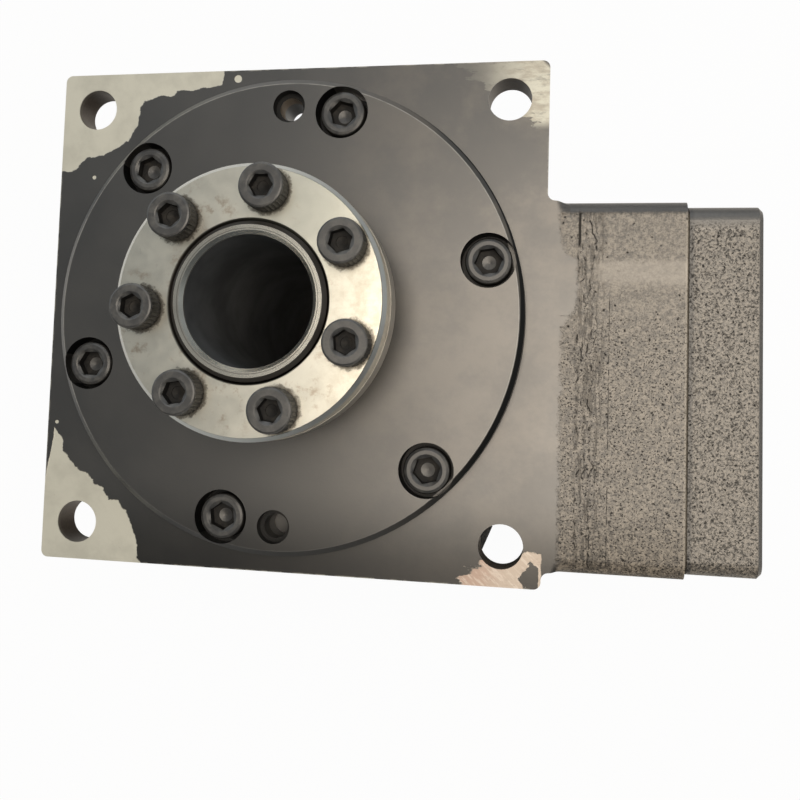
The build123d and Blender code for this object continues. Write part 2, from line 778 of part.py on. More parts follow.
with BuildPart() as clamping_disc_hub:
    with BuildSketch(Plane.XZ):
        with BuildLine():
            Polyline(
                (clamp_seat_radius + shaft_gap, disc_ring_back),
                (sleeve_end_radius, disc_ring_back),
                (disc_sleeve_radius, disc_flange_back),
                (disc_radius, disc_flange_back),
                (disc_radius, disc_front - disc_edge_chamfer),
                (disc_radius - disc_edge_chamfer, disc_front),
                (clamp_seat_radius + shaft_gap + disc_bore_chamfer, disc_front),
                (clamp_seat_radius + shaft_gap, disc_front - disc_bore_chamfer),
                (clamp_seat_radius + shaft_gap, disc_ring_back),
            )
        make_face()
    revolve(axis=Axis.Z)
    with BuildSketch(Plane.XY.offset(disc_front)):
        with PolarLocations(disc_screw_circle, disc_screw_count, disc_screw_start):
            Circle(mid_screw_radius + through_gap)
    extrude(amount=-disc_flange_thickness, mode=Mode.SUBTRACT)
clamping_disc_hub.part.label = "clamping_disc_hub"
export_step(clamping_disc_hub.part, "parts/clamping_disc_hub.step")

with BuildPart() as clamping_disc_ring:
    with BuildSketch(Plane.XZ):
        with BuildLine():
            Polyline(
                (sleeve_radius_at(disc_ring_back) + shaft_gap, disc_ring_back),
                (disc_radius - disc_edge_chamfer, disc_ring_back),
                (disc_radius, disc_ring_back + disc_edge_chamfer),
                (disc_radius, disc_ring_front),
                (sleeve_radius_at(disc_ring_front) + shaft_gap, disc_ring_front),
                (sleeve_radius_at(disc_ring_back) + shaft_gap, disc_ring_back),
            )
        make_face()
    revolve(axis=Axis.Z)
    with BuildSketch(Plane.XY.offset(disc_ring_front)):
        with PolarLocations(disc_screw_circle, disc_screw_count, disc_screw_start):
            Circle(mid_screw_radius + screw_gap)
    extrude(amount=-disc_ring_thickness, mode=Mode.SUBTRACT)
clamping_disc_ring.part.label = "clamping_disc_ring"
export_step(clamping_disc_ring.part, "parts/clamping_disc_ring.step")

with BuildPart() as clamping_disc_screws:
    with Locations((0, 0, disc_front)):
        with PolarLocations(disc_screw_circle, disc_screw_count, disc_screw_start):
            add(mid_screw(disc_screw_length))
clamping_disc_screws.part.label = "clamping_disc_screws"
export_step(clamping_disc_screws.part, "parts/clamping_disc_screws.step")

# Input shaft with its pinion cut on the end and a slotted socket for the motor shaft
with BuildPart() as input_shaft:
    for x in (pinion_front, pinion_back):
        with BuildSketch(input_axis_plane.offset(x)):
            with BuildLine():
                pinion_outline(x)
            make_face()
    loft(ruled=True)
    with BuildSketch(input_axis_plane.offset(pinion_back)):
        Circle(pinion_neck_radius)
    extrude(amount=input_shoulder_x - pinion_back)
    with BuildSketch(input_axis_plane.offset(input_shoulder_x)):
        Circle(input_collar_radius)
    extrude(amount=-input_collar_width)
    with BuildSketch(input_axis_plane.offset(input_shoulder_x)):
        Circle(input_journal_radius)
    extrude(amount=pilot_floor - input_shoulder_x)
    with BuildSketch(input_axis_plane.offset(bearing_pair_end)):
        Circle(input_journal_radius + cutter_overrun)
        Circle(input_journal_radius - shaft_ring_depth, mode=Mode.SUBTRACT)
    extrude(amount=shaft_ring_width, mode=Mode.SUBTRACT)
    with BuildSketch(input_axis_plane.offset(pilot_floor)):
        Circle(motor_shaft_radius)
    extrude(amount=-motor_shaft_length, mode=Mode.SUBTRACT)
    with BuildSketch(input_axis_plane.offset(pilot_floor)):
        Rectangle(clamp_slot, 4 * input_journal_radius)
    extrude(amount=-clamp_ring_width, mode=Mode.SUBTRACT)
input_shaft.part.label = "input_shaft"
export_step(input_shaft.part, "parts/input_shaft.step")

for name, start in (("inner", input_shoulder_x), ("outer", input_shoulder_x + input_bearing_width)):
    ball_bearing(
        f"input_{name}_bearing",
        on_input_axis(start),
        input_journal_radius,
        input_bearing_outer,
        input_bearing_width,
        input_ball_radius,
        input_ball_count,
    )


def retaining_ring(inner_radius, outer_radius, width):
    """Open spring ring along X, its gap towards +Y."""
    with BuildPart() as ring:
        with BuildSketch(input_axis_plane.offset(bearing_pair_end)):
            Circle(outer_radius)
            Circle(inner_radius, mode=Mode.SUBTRACT)
            with Locations(((inner_radius + outer_radius) / 2, 0)):
                Rectangle(2 * (outer_radius - inner_radius), retaining_ring_gap, mode=Mode.SUBTRACT)
        extrude(amount=width)
    return ring.part


housing_retaining_ring = retaining_ring(
    housing_ring_inner,
    input_bearing_outer + housing_ring_depth - screw_gap,
    housing_ring_width,
)
housing_retaining_ring.label = "housing_retaining_ring"
export_step(housing_retaining_ring, "parts/housing_retaining_ring.step")

shaft_retaining_ring = retaining_ring(
    input_journal_radius - shaft_ring_depth + screw_gap,
    shaft_ring_outer,
    shaft_ring_width,
)
shaft_retaining_ring.label = "shaft_retaining_ring"
export_step(shaft_retaining_ring, "parts/shaft_retaining_ring.step")

input_oil_seal = oil_seal(input_journal_radius, input_seal_outer).moved(on_input_axis(input_seal_start))
input_oil_seal.label = "input_oil_seal"
export_step(input_oil_seal, "parts/input_oil_seal.step")

# Gasket and motor adapter
with BuildPart() as adapter_gasket:
    with BuildSketch(input_axis_plane.offset(neck_end)):
        gasket_side = adapter_side - 2 * gasket_inset
        RectangleRounded(gasket_side, gasket_side, neck_corner_radius)
        Circle(input_bearing_outer + gasket_bore_room, mode=Mode.SUBTRACT)
        with PolarLocations(adapter_screw_circle, adapter_screw_count):
            Circle(mid_screw_radius + through_gap, mode=Mode.SUBTRACT)
    extrude(amount=gasket_thickness)
adapter_gasket.part.label = "adapter_gasket"
export_step(adapter_gasket.part, "parts/adapter_gasket.step")

adapter_seat = adapter_front - mid_head_height - mid_head_sunk
access_plane = Plane(
    origin=(clamp_start + clamp_ring_width / 2, input_y + adapter_side / 2, input_z + clamp_screw_height),
    x_dir=(1, 0, 0),
    z_dir=(0, 1, 0),
)
with BuildPart() as motor_adapter:
    with BuildSketch(input_axis_plane.offset(adapter_back)):
        RectangleRounded(adapter_side, adapter_side, neck_corner_radius)
    extrude(amount=adapter_thickness)
    chamfer(motor_adapter.edges().group_by(Axis.X)[-1], adapter_chamfer)
    with BuildSketch(input_axis_plane.offset(adapter_back)):
        Circle(input_bearing_outer - spigot_gap)
    extrude(amount=-adapter_spigot_length)
    with BuildSketch(input_axis_plane.offset(adapter_spigot_start)):
        Circle(input_seal_outer - seal_ledge_lap)
    extrude(amount=adapter_front - adapter_spigot_start, mode=Mode.SUBTRACT)
    with BuildSketch(input_axis_plane.offset(input_seal_start)):
        Circle(input_seal_outer + shaft_gap)
    extrude(amount=adapter_front - input_seal_start, mode=Mode.SUBTRACT)
    with BuildSketch(input_axis_plane.offset(clamp_start - end_gap)):
        Circle(adapter_cavity_radius)
    extrude(amount=adapter_front - clamp_start + end_gap, mode=Mode.SUBTRACT)
    with BuildSketch(input_axis_plane.offset(adapter_front)):
        Circle(motor_pilot_radius)
    extrude(amount=-motor_pilot_depth, mode=Mode.SUBTRACT)
    with BuildSketch(input_axis_plane.offset(adapter_front)):
        with PolarLocations(motor_bolt_circle, motor_bolt_count, motor_bolt_start):
            Circle(motor_bolt_radius)
    extrude(amount=-motor_bolt_depth, mode=Mode.SUBTRACT)
    with BuildSketch(input_axis_plane.offset(adapter_front)):
        with PolarLocations(adapter_screw_circle, adapter_screw_count):
            Circle(mid_head_radius + head_gap)
    extrude(amount=adapter_seat - adapter_front, mode=Mode.SUBTRACT)
    with BuildSketch(input_axis_plane.offset(adapter_front)):
        with PolarLocations(adapter_screw_circle, adapter_screw_count):
            Circle(mid_screw_radius + through_gap)
    extrude(amount=-adapter_thickness, mode=Mode.SUBTRACT)
    with BuildSketch(access_plane):
        Circle(access_hole_radius)
    extrude(amount=-(adapter_side / 2 - clamp_head_seat), mode=Mode.SUBTRACT)
motor_adapter.part.label = "motor_adapter"
export_step(motor_adapter.part, "parts/motor_adapter.step")

with BuildPart() as motor_adapter_screws:
    with Locations(on_input_axis(adapter_seat)):
        with PolarLocations(adapter_screw_circle, adapter_screw_count):
            add(mid_screw(adapter_screw_length))
motor_adapter_screws.part.label = "motor_adapter_screws"
export_step(motor_adapter_screws.part, "parts/motor_adapter_screws.step")

with BuildPart() as access_plug:
    with BuildSketch(access_plane):
        Circle(access_plug_flange)
    extrude(amount=access_plug_flange_thickness)
    with BuildSketch(access_plane):
        Circle(access_hole_radius - screw_gap)
    extrude(amount=-access_plug_length)
access_plug.part.label = "access_plug"
export_step(access_plug.part, "parts/access_plug.step")

# Clamp ring on the slotted end of the input shaft, and its screw
clamp_screw_plane = Plane(
    origin=(clamp_start + clamp_ring_width / 2, input_y + clamp_head_seat, input_z + clamp_screw_height),
    x_dir=(1, 0, 0),
    z_dir=(0, 1, 0),
)
with BuildPart() as clamp_ring:
    with BuildSketch(input_axis_plane.offset(clamp_start)):
        Circle(clamp_ring_radius)
        Circle(input_journal_radius + shaft_gap, mode=Mode.SUBTRACT)
        with Locations((0, clamp_ring_radius / 2 + input_journal_radius / 2)):
            Rectangle(clamp_slit, clamp_ring_radius, mode=Mode.SUBTRACT)
    extrude(amount=clamp_ring_width)
    rims = clamp_ring.edges().filter_by(GeomType.CIRCLE).sort_by(SortBy.RADIUS)[-2:]
    chamfer(rims, clamp_ring_chamfer)
    with BuildSketch(clamp_screw_plane):
        Circle(mid_head_radius + head_gap)
    extrude(amount=clamp_ring_radius, mode=Mode.SUBTRACT)
    with BuildSketch(clamp_screw_plane):
        Circle(mid_screw_radius + screw_gap)
    extrude(amount=-2 * clamp_ring_radius, mode=Mode.SUBTRACT)
clamp_ring.part.label = "clamp_ring"
export_step(clamp_ring.part, "parts/clamp_ring.step")

clamp_screw = mid_screw(clamp_screw_length).moved(clamp_screw_plane.location)
clamp_screw.label = "clamp_screw"
export_step(clamp_screw, "parts/clamp_screw.step")

# Oil plug and its washer
outward = Plane(origin=(oil_plug_x, neck_bottom, input_z), x_dir=(1, 0, 0), z_dir=(0, -1, 0))
with BuildPart() as oil_plug_washer:
    with BuildSketch(outward):
        Circle(oil_plug_head_radius + head_gap)
        Circle(oil_plug_radius + screw_gap, mode=Mode.SUBTRACT)
    extrude(amount=oil_washer_thickness)
oil_plug_washer.part.label = "oil_plug_washer"
export_step(oil_plug_washer.part, "parts/oil_plug_washer.step")

oil_plug = cap_screw(
    oil_plug_radius,
    oil_plug_length,
    oil_plug_head_radius,
    oil_plug_head_height,
    oil_plug_socket_width,
    oil_plug_socket_depth,
    oil_plug_chamfer,
).moved(outward.offset(oil_washer_thickness).location)
oil_plug.label = "oil_plug"
export_step(oil_plug, "parts/oil_plug.step")
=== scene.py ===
import bpy
import bmesh
import math
from mathutils import Matrix, Vector


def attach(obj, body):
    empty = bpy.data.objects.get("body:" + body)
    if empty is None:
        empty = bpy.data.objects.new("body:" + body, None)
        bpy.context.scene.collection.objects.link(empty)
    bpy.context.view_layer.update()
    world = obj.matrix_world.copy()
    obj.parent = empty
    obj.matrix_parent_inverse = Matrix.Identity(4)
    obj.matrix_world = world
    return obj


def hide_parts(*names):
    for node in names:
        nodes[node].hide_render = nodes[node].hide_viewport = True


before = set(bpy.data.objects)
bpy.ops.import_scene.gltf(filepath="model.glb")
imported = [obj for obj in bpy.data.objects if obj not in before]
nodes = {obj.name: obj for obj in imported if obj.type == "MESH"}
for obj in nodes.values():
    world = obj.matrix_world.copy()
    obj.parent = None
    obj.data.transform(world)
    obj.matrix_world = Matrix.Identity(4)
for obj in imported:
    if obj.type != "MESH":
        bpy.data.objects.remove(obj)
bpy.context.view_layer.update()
scene = bpy.context.scene

MM = 0.001  # Blender works in metres

# Places and sizes of the object, in millimetres
PLATE_HALF = 54.0
PLATE_BACK = -8.0
FLANGE_HOLE = 45.96
COVER_FACE = 5.5
COVER_RIM = 48.98
COVER_SEAT = 0.6
COVER_SCREWS = (44.0, 6, 15.0)  # circle radius, count and first angle
DISC_FRONT = 30.0
DISC_RADIUS = 26.0
DISC_SCREWS = (20.9, 7, 30.2)
SHAFT_BORE = 12.5
INPUT_Y = -13.0
INPUT_Z = -38.0
NECK_SIDE = 75.2
NECK_FRONT = -0.4
NECK_EDGE = 3.0
FLOOR = -86.0

SCREW_SEGMENTS = 96
DISC_SCREW = dict(head_radius=4.25, head_height=5.0, edge=0.45, socket=4.0, socket_depth=2.5,
                  shank_radius=2.5, length=11.4, knurls=32)
COVER_SCREW = dict(head_radius=4.75, head_height=4.0, edge=0.75, socket=5.0, socket_depth=2.7,
                   shank_radius=3.0, length=7.9, knurls=0)

# Camera at the photograph's viewing angle
CAMERA_LENS = 45.048
CAMERA_SHIFT = (0.06875, -0.085)
CAMERA_TURN = Vector((0.07449413, 0.19704421, 0.02650012))  # axis times angle
CAMERA_PLACE = Vector((0.054087, -0.018269, 0.206430))

# Colours, as linear red, green and blue
PAINT = (0.011, 0.0115, 0.0118)
PAINT_DUSTY = (0.017, 0.0168, 0.016)
PAINT_FILM_AND_SHEEN = (0.14, 0.118, 0.092)
PAINT_SPECKS = (0.06, 0.055, 0.05)
BARE = (0.70, 0.69, 0.60)
BARE_DULL = (0.56, 0.50, 0.43)
BARE_BROWN = (0.47, 0.35, 0.29)
BARE_SCRATCH = (0.74, 0.67, 0.6)
BARE_SCUFF = (0.3, 0.23, 0.19)
BARE_SMEAR = (0.36, 0.31, 0.25)
BARE_SPOT = (0.3, 0.27, 0.23)
HOLE_DARK, HOLE_LIGHT = (0.05, 0.04, 0.032), (0.2, 0.165, 0.13)
CAST_DARK, CAST_LIGHT = (0.09, 0.077, 0.062), (0.37, 0.318, 0.256)
CAST_GROUND = (0.2, 0.171, 0.135)
CAST_PIT = (0.014, 0.013, 0.012)
CAST_TOP_SHADE = (0.022, 0.022, 0.023)
CAST_END = (0.38, 0.33, 0.26)
HIDDEN_DARK, HIDDEN_LIGHT = (0.016, 0.016, 0.016), (0.04, 0.038, 0.035)
JACK_HOLE = (0.34, 0.27, 0.2)
RIM_LINE_HIGHLIGHT = (0.3, 0.3, 0.285)
ADAPTER_DARK, ADAPTER_LIGHT = (0.092, 0.08, 0.066), (0.31, 0.27, 0.22)
ADAPTER_PIT = (0.012, 0.012, 0.012)
ADAPTER_MACHINED_SHADE = (0.03, 0.03, 0.03)
ADAPTER_GRIME = (0.014, 0.013, 0.013)
RUST = (0.32, 0.20, 0.11)
DISC_STEEL = (0.80, 0.79, 0.71)
DISC_GAP_SHADE = (0.05, 0.045, 0.04)
DISC_FILM = (0.42, 0.37, 0.28)
DISC_GREY = (0.52, 0.54, 0.49)
DISC_RIM_HIGHLIGHT = (0.97, 0.97, 0.94)
DISC_OIL = (0.09, 0.075, 0.06)
RING_STEEL = (0.34, 0.33, 0.31)
RING_SEAM = (0.72, 0.7, 0.64)
SHAFT_STEEL = (0.60, 0.59, 0.54)
SHAFT_LINE = (0.1, 0.09, 0.08)
SHAFT_EDGE_SHADE = (0.03, 0.028, 0.026)
BORE_DARK, BORE_LIGHT = (0.06, 0.065, 0.07), (0.115, 0.122, 0.13)
OXIDE_DARK, OXIDE_LIGHT = (0.044, 0.045, 0.047), (0.085, 0.085, 0.082)
OXIDE_RUST = (0.12, 0.08, 0.05)
OXIDE_WORN = (0.2, 0.195, 0.185)
GRIME_SHADE_DARK, GRIME_SHADE_LIGHT = (0.006, 0.006, 0.006), (0.022, 0.019, 0.016)
FLOOR_COLOUR = (0.8, 0.79, 0.78)
SKY_COLOUR = (0.915, 0.975, 0.995)
WHITE = (1.0, 1.0, 1.0)

# Edges of the wear at the left corners: place across the corner's diagonal, and distance out along it
UPPER_LEFT_WEAR = [(-16.0, 61.5), (-13.9, 58.9), (-9.1, 58.6), (-5.8, 56.1), (-2.4, 55.2), (0.2, 54.5),
                   (4.3, 55.5), (7.4, 57.9), (9.0, 58.2), (12.0, 57.0), (14.8, 54.1), (15.9, 54.6),
                   (18.8, 51.5), (20.8, 50.3), (24.0, 47.9), (26.5, 49.6)]
LOWER_LEFT_WEAR = [(-17.6, 55.2), (-15.4, 55.6), (-14.3, 56.9), (-10.7, 57.3), (-8.3, 57.2), (-5.9, 56.2),
                   (-3.3, 56.3), (-1.2, 55.6), (1.5, 56.2), (3.2, 54.9), (6.0, 54.9), (8.7, 56.1),
                   (11.9, 57.1), (15.2, 59.8)]
# Inner edge of the bare sliver above the lower left corner, as x at each y
LEFT_SLIVER = [(-41.0, -54.2), (-37.5, -54.0), (-33.0, -53.4), (-30.0, -52.8), (-27.5, -52.5), (-25.0, -52.4)]
# Edge of the flange's machined pad where the neck's cast surface starts, as x at each y
PAD_EDGE = [(-9.0, 57.1), (-3.0, 57.2), (-1.4, 57.4), (1.0, 58.9), (3.4, 60.0), (7.6, 60.35), (12.5, 59.9),
            (13.4, 57.9), (16.4, 56.9), (22.2, 56.2)]
# Chips in the paint: x, y and radius
CHIPS = [(-13.2, 52.1, 0.75), (-51.9, -24.4, 0.3), (3.7, -48.7, 0.3), (-46.0, 30.5, 0.35), (44.5, 8.0, 0.25)]
# Creases that run down the neck's front: lowest and highest x, and the softness of their edges
CREASES = [(61.7, 62.05, 0.16), (63.0, 63.25, 0.14), (64.3, 64.6, 0.14), (65.4, 65.5, 0.1)]

camera_data = bpy.data.cameras.new("camera")
camera_data.sensor_width = 36.0
camera_data.lens = CAMERA_LENS
camera_data.shift_x, camera_data.shift_y = CAMERA_SHIFT
camera_data.clip_start = 0.01
camera = bpy.data.objects.new("camera", camera_data)
scene.collection.objects.link(camera)
camera_turn = Matrix.Rotation(CAMERA_TURN.length, 4, CAMERA_TURN.normalized())
camera.matrix_world = Matrix.Translation(CAMERA_PLACE) @ camera_turn
scene.camera = camera


class Shader:
    """A material with helpers that add nodes; lengths in its coordinates are millimetres."""

    def __init__(self, name):
        self.material = bpy.data.materials.new(name)
        self.material.use_nodes = True
        self.tree = self.material.node_tree
        self.tree.nodes.clear()
        out = self.tree.nodes.new("ShaderNodeOutputMaterial")
        self.bsdf = self.tree.nodes.new("ShaderNodeBsdfPrincipled")
        self.tree.links.new(self.bsdf.outputs[0], out.inputs["Surface"])
        coordinates = self.tree.nodes.new("ShaderNodeTexCoord").outputs["Object"]
        self.place = self.vector("MULTIPLY", coordinates, (1.0 / MM, 1.0 / MM, 1.0 / MM))
        split = self.tree.nodes.new("ShaderNodeSeparateXYZ")
        self.tree.links.new(self.place, split.inputs[0])
        self.x, self.y, self.z = split.outputs

    def put(self, socket, value):
        """Link a socket to another one, or give it a constant."""
        if isinstance(value, bpy.types.NodeSocket):
            self.tree.links.new(value, socket)
        else:
            socket.default_value = value

    def math(self, operation, *values, clamp=False):
        node = self.tree.nodes.new("ShaderNodeMath")
        node.operation = operation
        node.use_clamp = clamp
        for socket, value in zip(node.inputs, values):
            self.put(socket, value)
        return node.outputs[0]

    def vector(self, operation, *values):
        node = self.tree.nodes.new("ShaderNodeVectorMath")
        node.operation = operation
        for socket, value in zip(node.inputs, values):
            self.put(socket, value)
        return node.outputs[1] if operation in ("LENGTH", "DISTANCE", "DOT_PRODUCT") else node.outputs[0]

    def join(self, x, y, z):
        node = self.tree.nodes.new("ShaderNodeCombineXYZ")
        for socket, value in zip(node.inputs, (x, y, z)):
            self.put(socket, value)
        return node.outputs[0]

    def plus(self, first, second):
        return self.math("ADD", first, second)

    def minus(self, first, second):
        return self.math("SUBTRACT", first, second)

    def times(self, first, second):
        return self.math("MULTIPLY", first, second)

    def nudge(self, value, by, amount):
        """A value moved by an amount of another one."""
        return self.plus(value, self.times(by, amount))

    def inverse(self, mask):
        return self.minus(1.0, mask)

    def without(self, mask, cut):
        """A mask with another one cut out of it."""
        return self.math("SUBTRACT", mask, cut, clamp=True)

    def both(self, first, *others):
        """Product of several masks."""
        for other in others:
            first = self.times(first, other)
        return first

    def either(self, first, *others):
        """Largest of several masks."""
        for other in others:
            first = self.math("MAXIMUM", first, other)
        return first

    def from_axis(self):
        """Distance from the output axis."""
        return self.vector("LENGTH", self.join(self.x, self.y, 0.0))

    def away(self, x, y, flatten=1.0):
        """Distance from a spot, seen along the output axis; y is flattened first."""
        level = self.y if flatten == 1.0 else self.times(self.y, flatten)
        return self.vector("DISTANCE", self.join(self.x, level, 0.0), (x, y, 0.0))

    def diagonal(self, a, b):
        """Distance from the output axis along a diagonal of the flange; a and b are 1 or -1."""
        half = math.sqrt(0.5)
        return self.math("MULTIPLY_ADD", self.x, a * half, self.times(self.y, b * half))

    def noise(self, scale, detail=3.0, rough=0.55, at=None):
        node = self.tree.nodes.new("ShaderNodeTexNoise")
        self.put(node.inputs["Vector"], at if at is not None else self.place)
        node.inputs["Scale"].default_value = scale
        node.inputs["Detail"].default_value = detail
        node.inputs["Roughness"].default_value = rough
        return node.outputs["Fac"]

    def cells(self, scale, at):
        node = self.tree.nodes.new("ShaderNodeTexVoronoi")
        self.put(node.inputs["Vector"], at)
        node.inputs["Scale"].default_value = scale
        return node.outputs["Distance"]

    def step(self, value, low, high, start=0.0, end=1.0, kind="SMOOTHSTEP"):
        """Start below low, end above high and a soft rise between them."""
        node = self.tree.nodes.new("ShaderNodeMapRange")
        node.interpolation_type = kind
        node.clamp = True
        self.put(node.inputs["Value"], value)
        self.put(node.inputs["From Min"], low)
        self.put(node.inputs["From Max"], high)
        self.put(node.inputs["To Min"], start)
        self.put(node.inputs["To Max"], end)
        return node.outputs["Result"]

    def fall(self, value, low, high):
        """1 below low, 0 above high."""
        return self.step(value, low, high, 1.0, 0.0)

    def between(self, value, low, high, soft):
        """1 between low and high, 0 outside them."""
        rise = self.step(value, low - soft, low + soft)
        return self.times(rise, self.fall(value, high - soft, high + soft))

    def curve(self, value, points, low, high):
        """Height of a broken line through points of place and height; all heights are from low to high."""
        node = self.tree.nodes.new("ShaderNodeValToRGB")
        start, end = points[0][0], points[-1][0]
        self.put(node.inputs[0], self.step(value, start, end, kind="LINEAR"))
        elements = node.color_ramp.elements
        while len(elements) < len(points):
            elements.new(0.5)
        for element, (along, height) in zip(elements, points):
            element.position = (along - start) / (end - start)
            level = (height - low) / (high - low)
            element.color = (level, level, level, 1.0)
        return self.math("MULTIPLY_ADD", node.outputs[0], high - low, low)

    def mix(self, amount, first, second):
        """Mix two colours."""
        node = self.tree.nodes.new("ShaderNodeMix")
        node.data_type = "RGBA"
        self.put(node.inputs["Factor"], amount)
        for name, value in (("A", first), ("B", second)):
            socket = [s for s in node.inputs if s.name == name and s.type == "RGBA"][0]
            if isinstance(value, tuple):
                value = value + (1.0,)
            self.put(socket, value)
        return [s for s in node.outputs if s.type == "RGBA"][0]

    def blend(self, amount, first, second):
        """Mix two numbers."""
        node = self.tree.nodes.new("ShaderNodeMix")
        node.data_type = "FLOAT"
        self.put(node.inputs["Factor"], amount)
        self.put(node.inputs["A"], first)
        self.put(node.inputs["B"], second)
        return node.outputs[0]

    def bump(self, height, distance, normal=None):
        """Bump whose height socket runs from 0 to 1 over the distance given in millimetres."""
        node = self.tree.nodes.new("ShaderNodeBump")
        node.inputs["Strength"].default_value = 1.0
        node.inputs["Distance"].default_value = distance * MM
        self.put(node.inputs["Height"], height)
        if normal is not None:
            self.put(node.inputs["Normal"], normal)
        return node.outputs[0]

    def base_colour(self):
        """What the base colour is linked to so far."""
        return self.bsdf.inputs["Base Color"].links[0].from_socket

    def set(self, **values):
        """Set or link inputs of the surface."""
        for name, value in values.items():
            name = name.replace("_", " ")
            name = {"Specular": "Specular IOR Level", "Coat": "Coat Weight"}.get(name, name)
            self.put(self.bsdf.inputs[name], value)


def darker(colour, share):
    return tuple(share * c for c in colour)


def circle_places(radius, count, start):
    """Places of equal holes on a circle about the output axis; start is in degrees."""
    angles = [math.radians(start + i * 360.0 / count) for i in range(count)]
    return [(radius * math.cos(angle), radius * math.sin(angle)) for angle in angles]


def paint_finish(s):
    """Black paint under a thin sheen, with a fine orange peel, faint dust and small light specks."""
    peel = s.noise(1.6, 2.0)
    dust = s.step(s.noise(0.055, 4.0, 0.6), 0.35, 0.75)
    specks = s.step(s.noise(4.0, 2.0, 0.5), 0.70, 0.76)
    # The side towards the motor holds a brownish film of dust with painted sheen in it; the film fades
    # towards the bottom edge as painted shade
    film_and_painted_sheen = s.both(s.step(s.x, -5.0, 57.0), s.step(s.noise(0.075, 5.0, 0.66), 0.36, 0.66, 0.15, 1.0),
                     s.step(s.y, -54.0, -24.0, 0.25, 1.0))
    # A patch near the upper right bolt hole has less of this film and painted sheen
    away = s.away(43.0, 27.5, flatten=0.8)
    ragged_away = s.math("MULTIPLY_ADD", s.noise(0.16, 4.0, 0.6), 14.0, s.minus(away, 7.0))
    film_and_painted_sheen = s.times(film_and_painted_sheen, s.step(ragged_away, 5.0, 11.0, 0.1, 1.0))
    colour = s.mix(dust, PAINT, PAINT_DUSTY)
    colour = s.mix(s.times(film_and_painted_sheen, 0.75), colour, PAINT_FILM_AND_SHEEN)
    colour = s.mix(s.times(specks, 0.4), colour, PAINT_SPECKS)
    rough = s.blend(dust, 0.37, 0.42)
    s.set(Specular=1.0, Coat=0.8, Coat_Roughness=0.34, Coat_IOR=1.6)
    return colour, rough, peel


def sheen(s):
    """Gloss left on the paint, lowered along the bottom edge as painted shade."""
    return s.step(s.y, -54.0, -34.0, 0.35, 1.0)


def worn_left(s, wave, front):
    """Bare metal at the two left corners, outside a broken line across each of them."""
    ragged = s.times(wave, 0.55)

    def beyond(line, across, outward):
        edge = s.curve(across, line, 40.0, 65.0)
        return s.step(s.minus(s.minus(outward, edge), ragged), -0.12, 0.12)

    upper = s.both(beyond(UPPER_LEFT_WEAR, s.diagonal(1, 1), s.diagonal(-1, 1)),
                   s.fall(s.diagonal(1, 1), 26.2, 26.8), front)
    sliver = s.curve(s.y, LEFT_SLIVER, -55.0, -50.0)
    past_sliver = s.step(s.minus(s.nudge(s.x, wave, 0.15), sliver), -0.1, 0.1)
    lower = s.both(beyond(LOWER_LEFT_WEAR, s.diagonal(1, -1), s.diagonal(-1, -1)), past_sliver, front)
    return s.either(upper, lower)


def worn_upper_right(s, front, scraped, scratch_place):
    """Scraped patch at the upper right corner, with paint left in its scratches."""
    corner = s.plus(s.step(s.diagonal(1, 1), 60.0, 66.5), s.step(s.y, 44.0, 53.0, -0.25, 0.1))
    near_tip = s.fall(s.diagonal(1, 1), 74.9, 75.6)
    worn = s.both(s.step(s.nudge(scraped, corner, 0.5), 0.72, 0.78),
                  s.step(s.y, 39.0, 41.5), s.step(s.x, 37.0, 51.0, 0.1, 1.0), near_tip, front)
    return s.times(worn, s.step(s.noise(0.55, 5.0, 0.7, at=scratch_place), 0.3, 0.5, 0.45, 1.0))


def worn_lower_right(s, wave, front, scraped):
    """Scraped patch at the lower right corner, with one island of paint left in it."""
    corner = s.step(s.diagonal(1, -1), 61.0, 69.0)
    worn = s.both(s.step(s.nudge(scraped, corner, 0.6), 0.68, 0.76),
                  s.fall(s.nudge(s.y, wave, 1.1), -46.8, -46.4),
                  s.between(s.nudge(s.x, wave, 0.25), 36.5, 54.1, 0.12), front)
    island = s.both(s.fall(s.nudge(s.away(52.3, -41.6, flatten=0.8), wave, 1.0), 2.1, 2.25),
                    s.fall(s.nudge(s.x, wave, 0.2), 53.4, 53.55))
    return s.without(worn, island)


def rubbed_edges(s):
    """Edges of the plate where the paint has rubbed through to a thin light line."""
    inside = s.either(s.math("ABSOLUTE", s.x), s.math("ABSOLUTE", s.y))
    around = s.both(s.step(inside, PLATE_HALF - 0.28, PLATE_HALF - 0.15),
                    s.step(s.noise(0.3, 4.0, 0.7), 0.42, 0.6), s.step(s.z, -0.9, -0.2),
                    s.either(s.fall(s.x, 53.0, 53.6), s.step(s.y, 25.5, 26.5)),
                    s.fall(s.x, PLATE_HALF - 0.1, PLATE_HALF + 0.2))
    left = s.both(s.fall(s.x, 0.01 - PLATE_HALF, 0.1 - PLATE_HALF), s.fall(s.y, -34.0, -33.0),
                  s.step(s.y, -46.5, -45.5), s.step(s.z, -2.4, -2.0))
    return s.either(s.times(around, 0.35), s.times(left, 0.8))


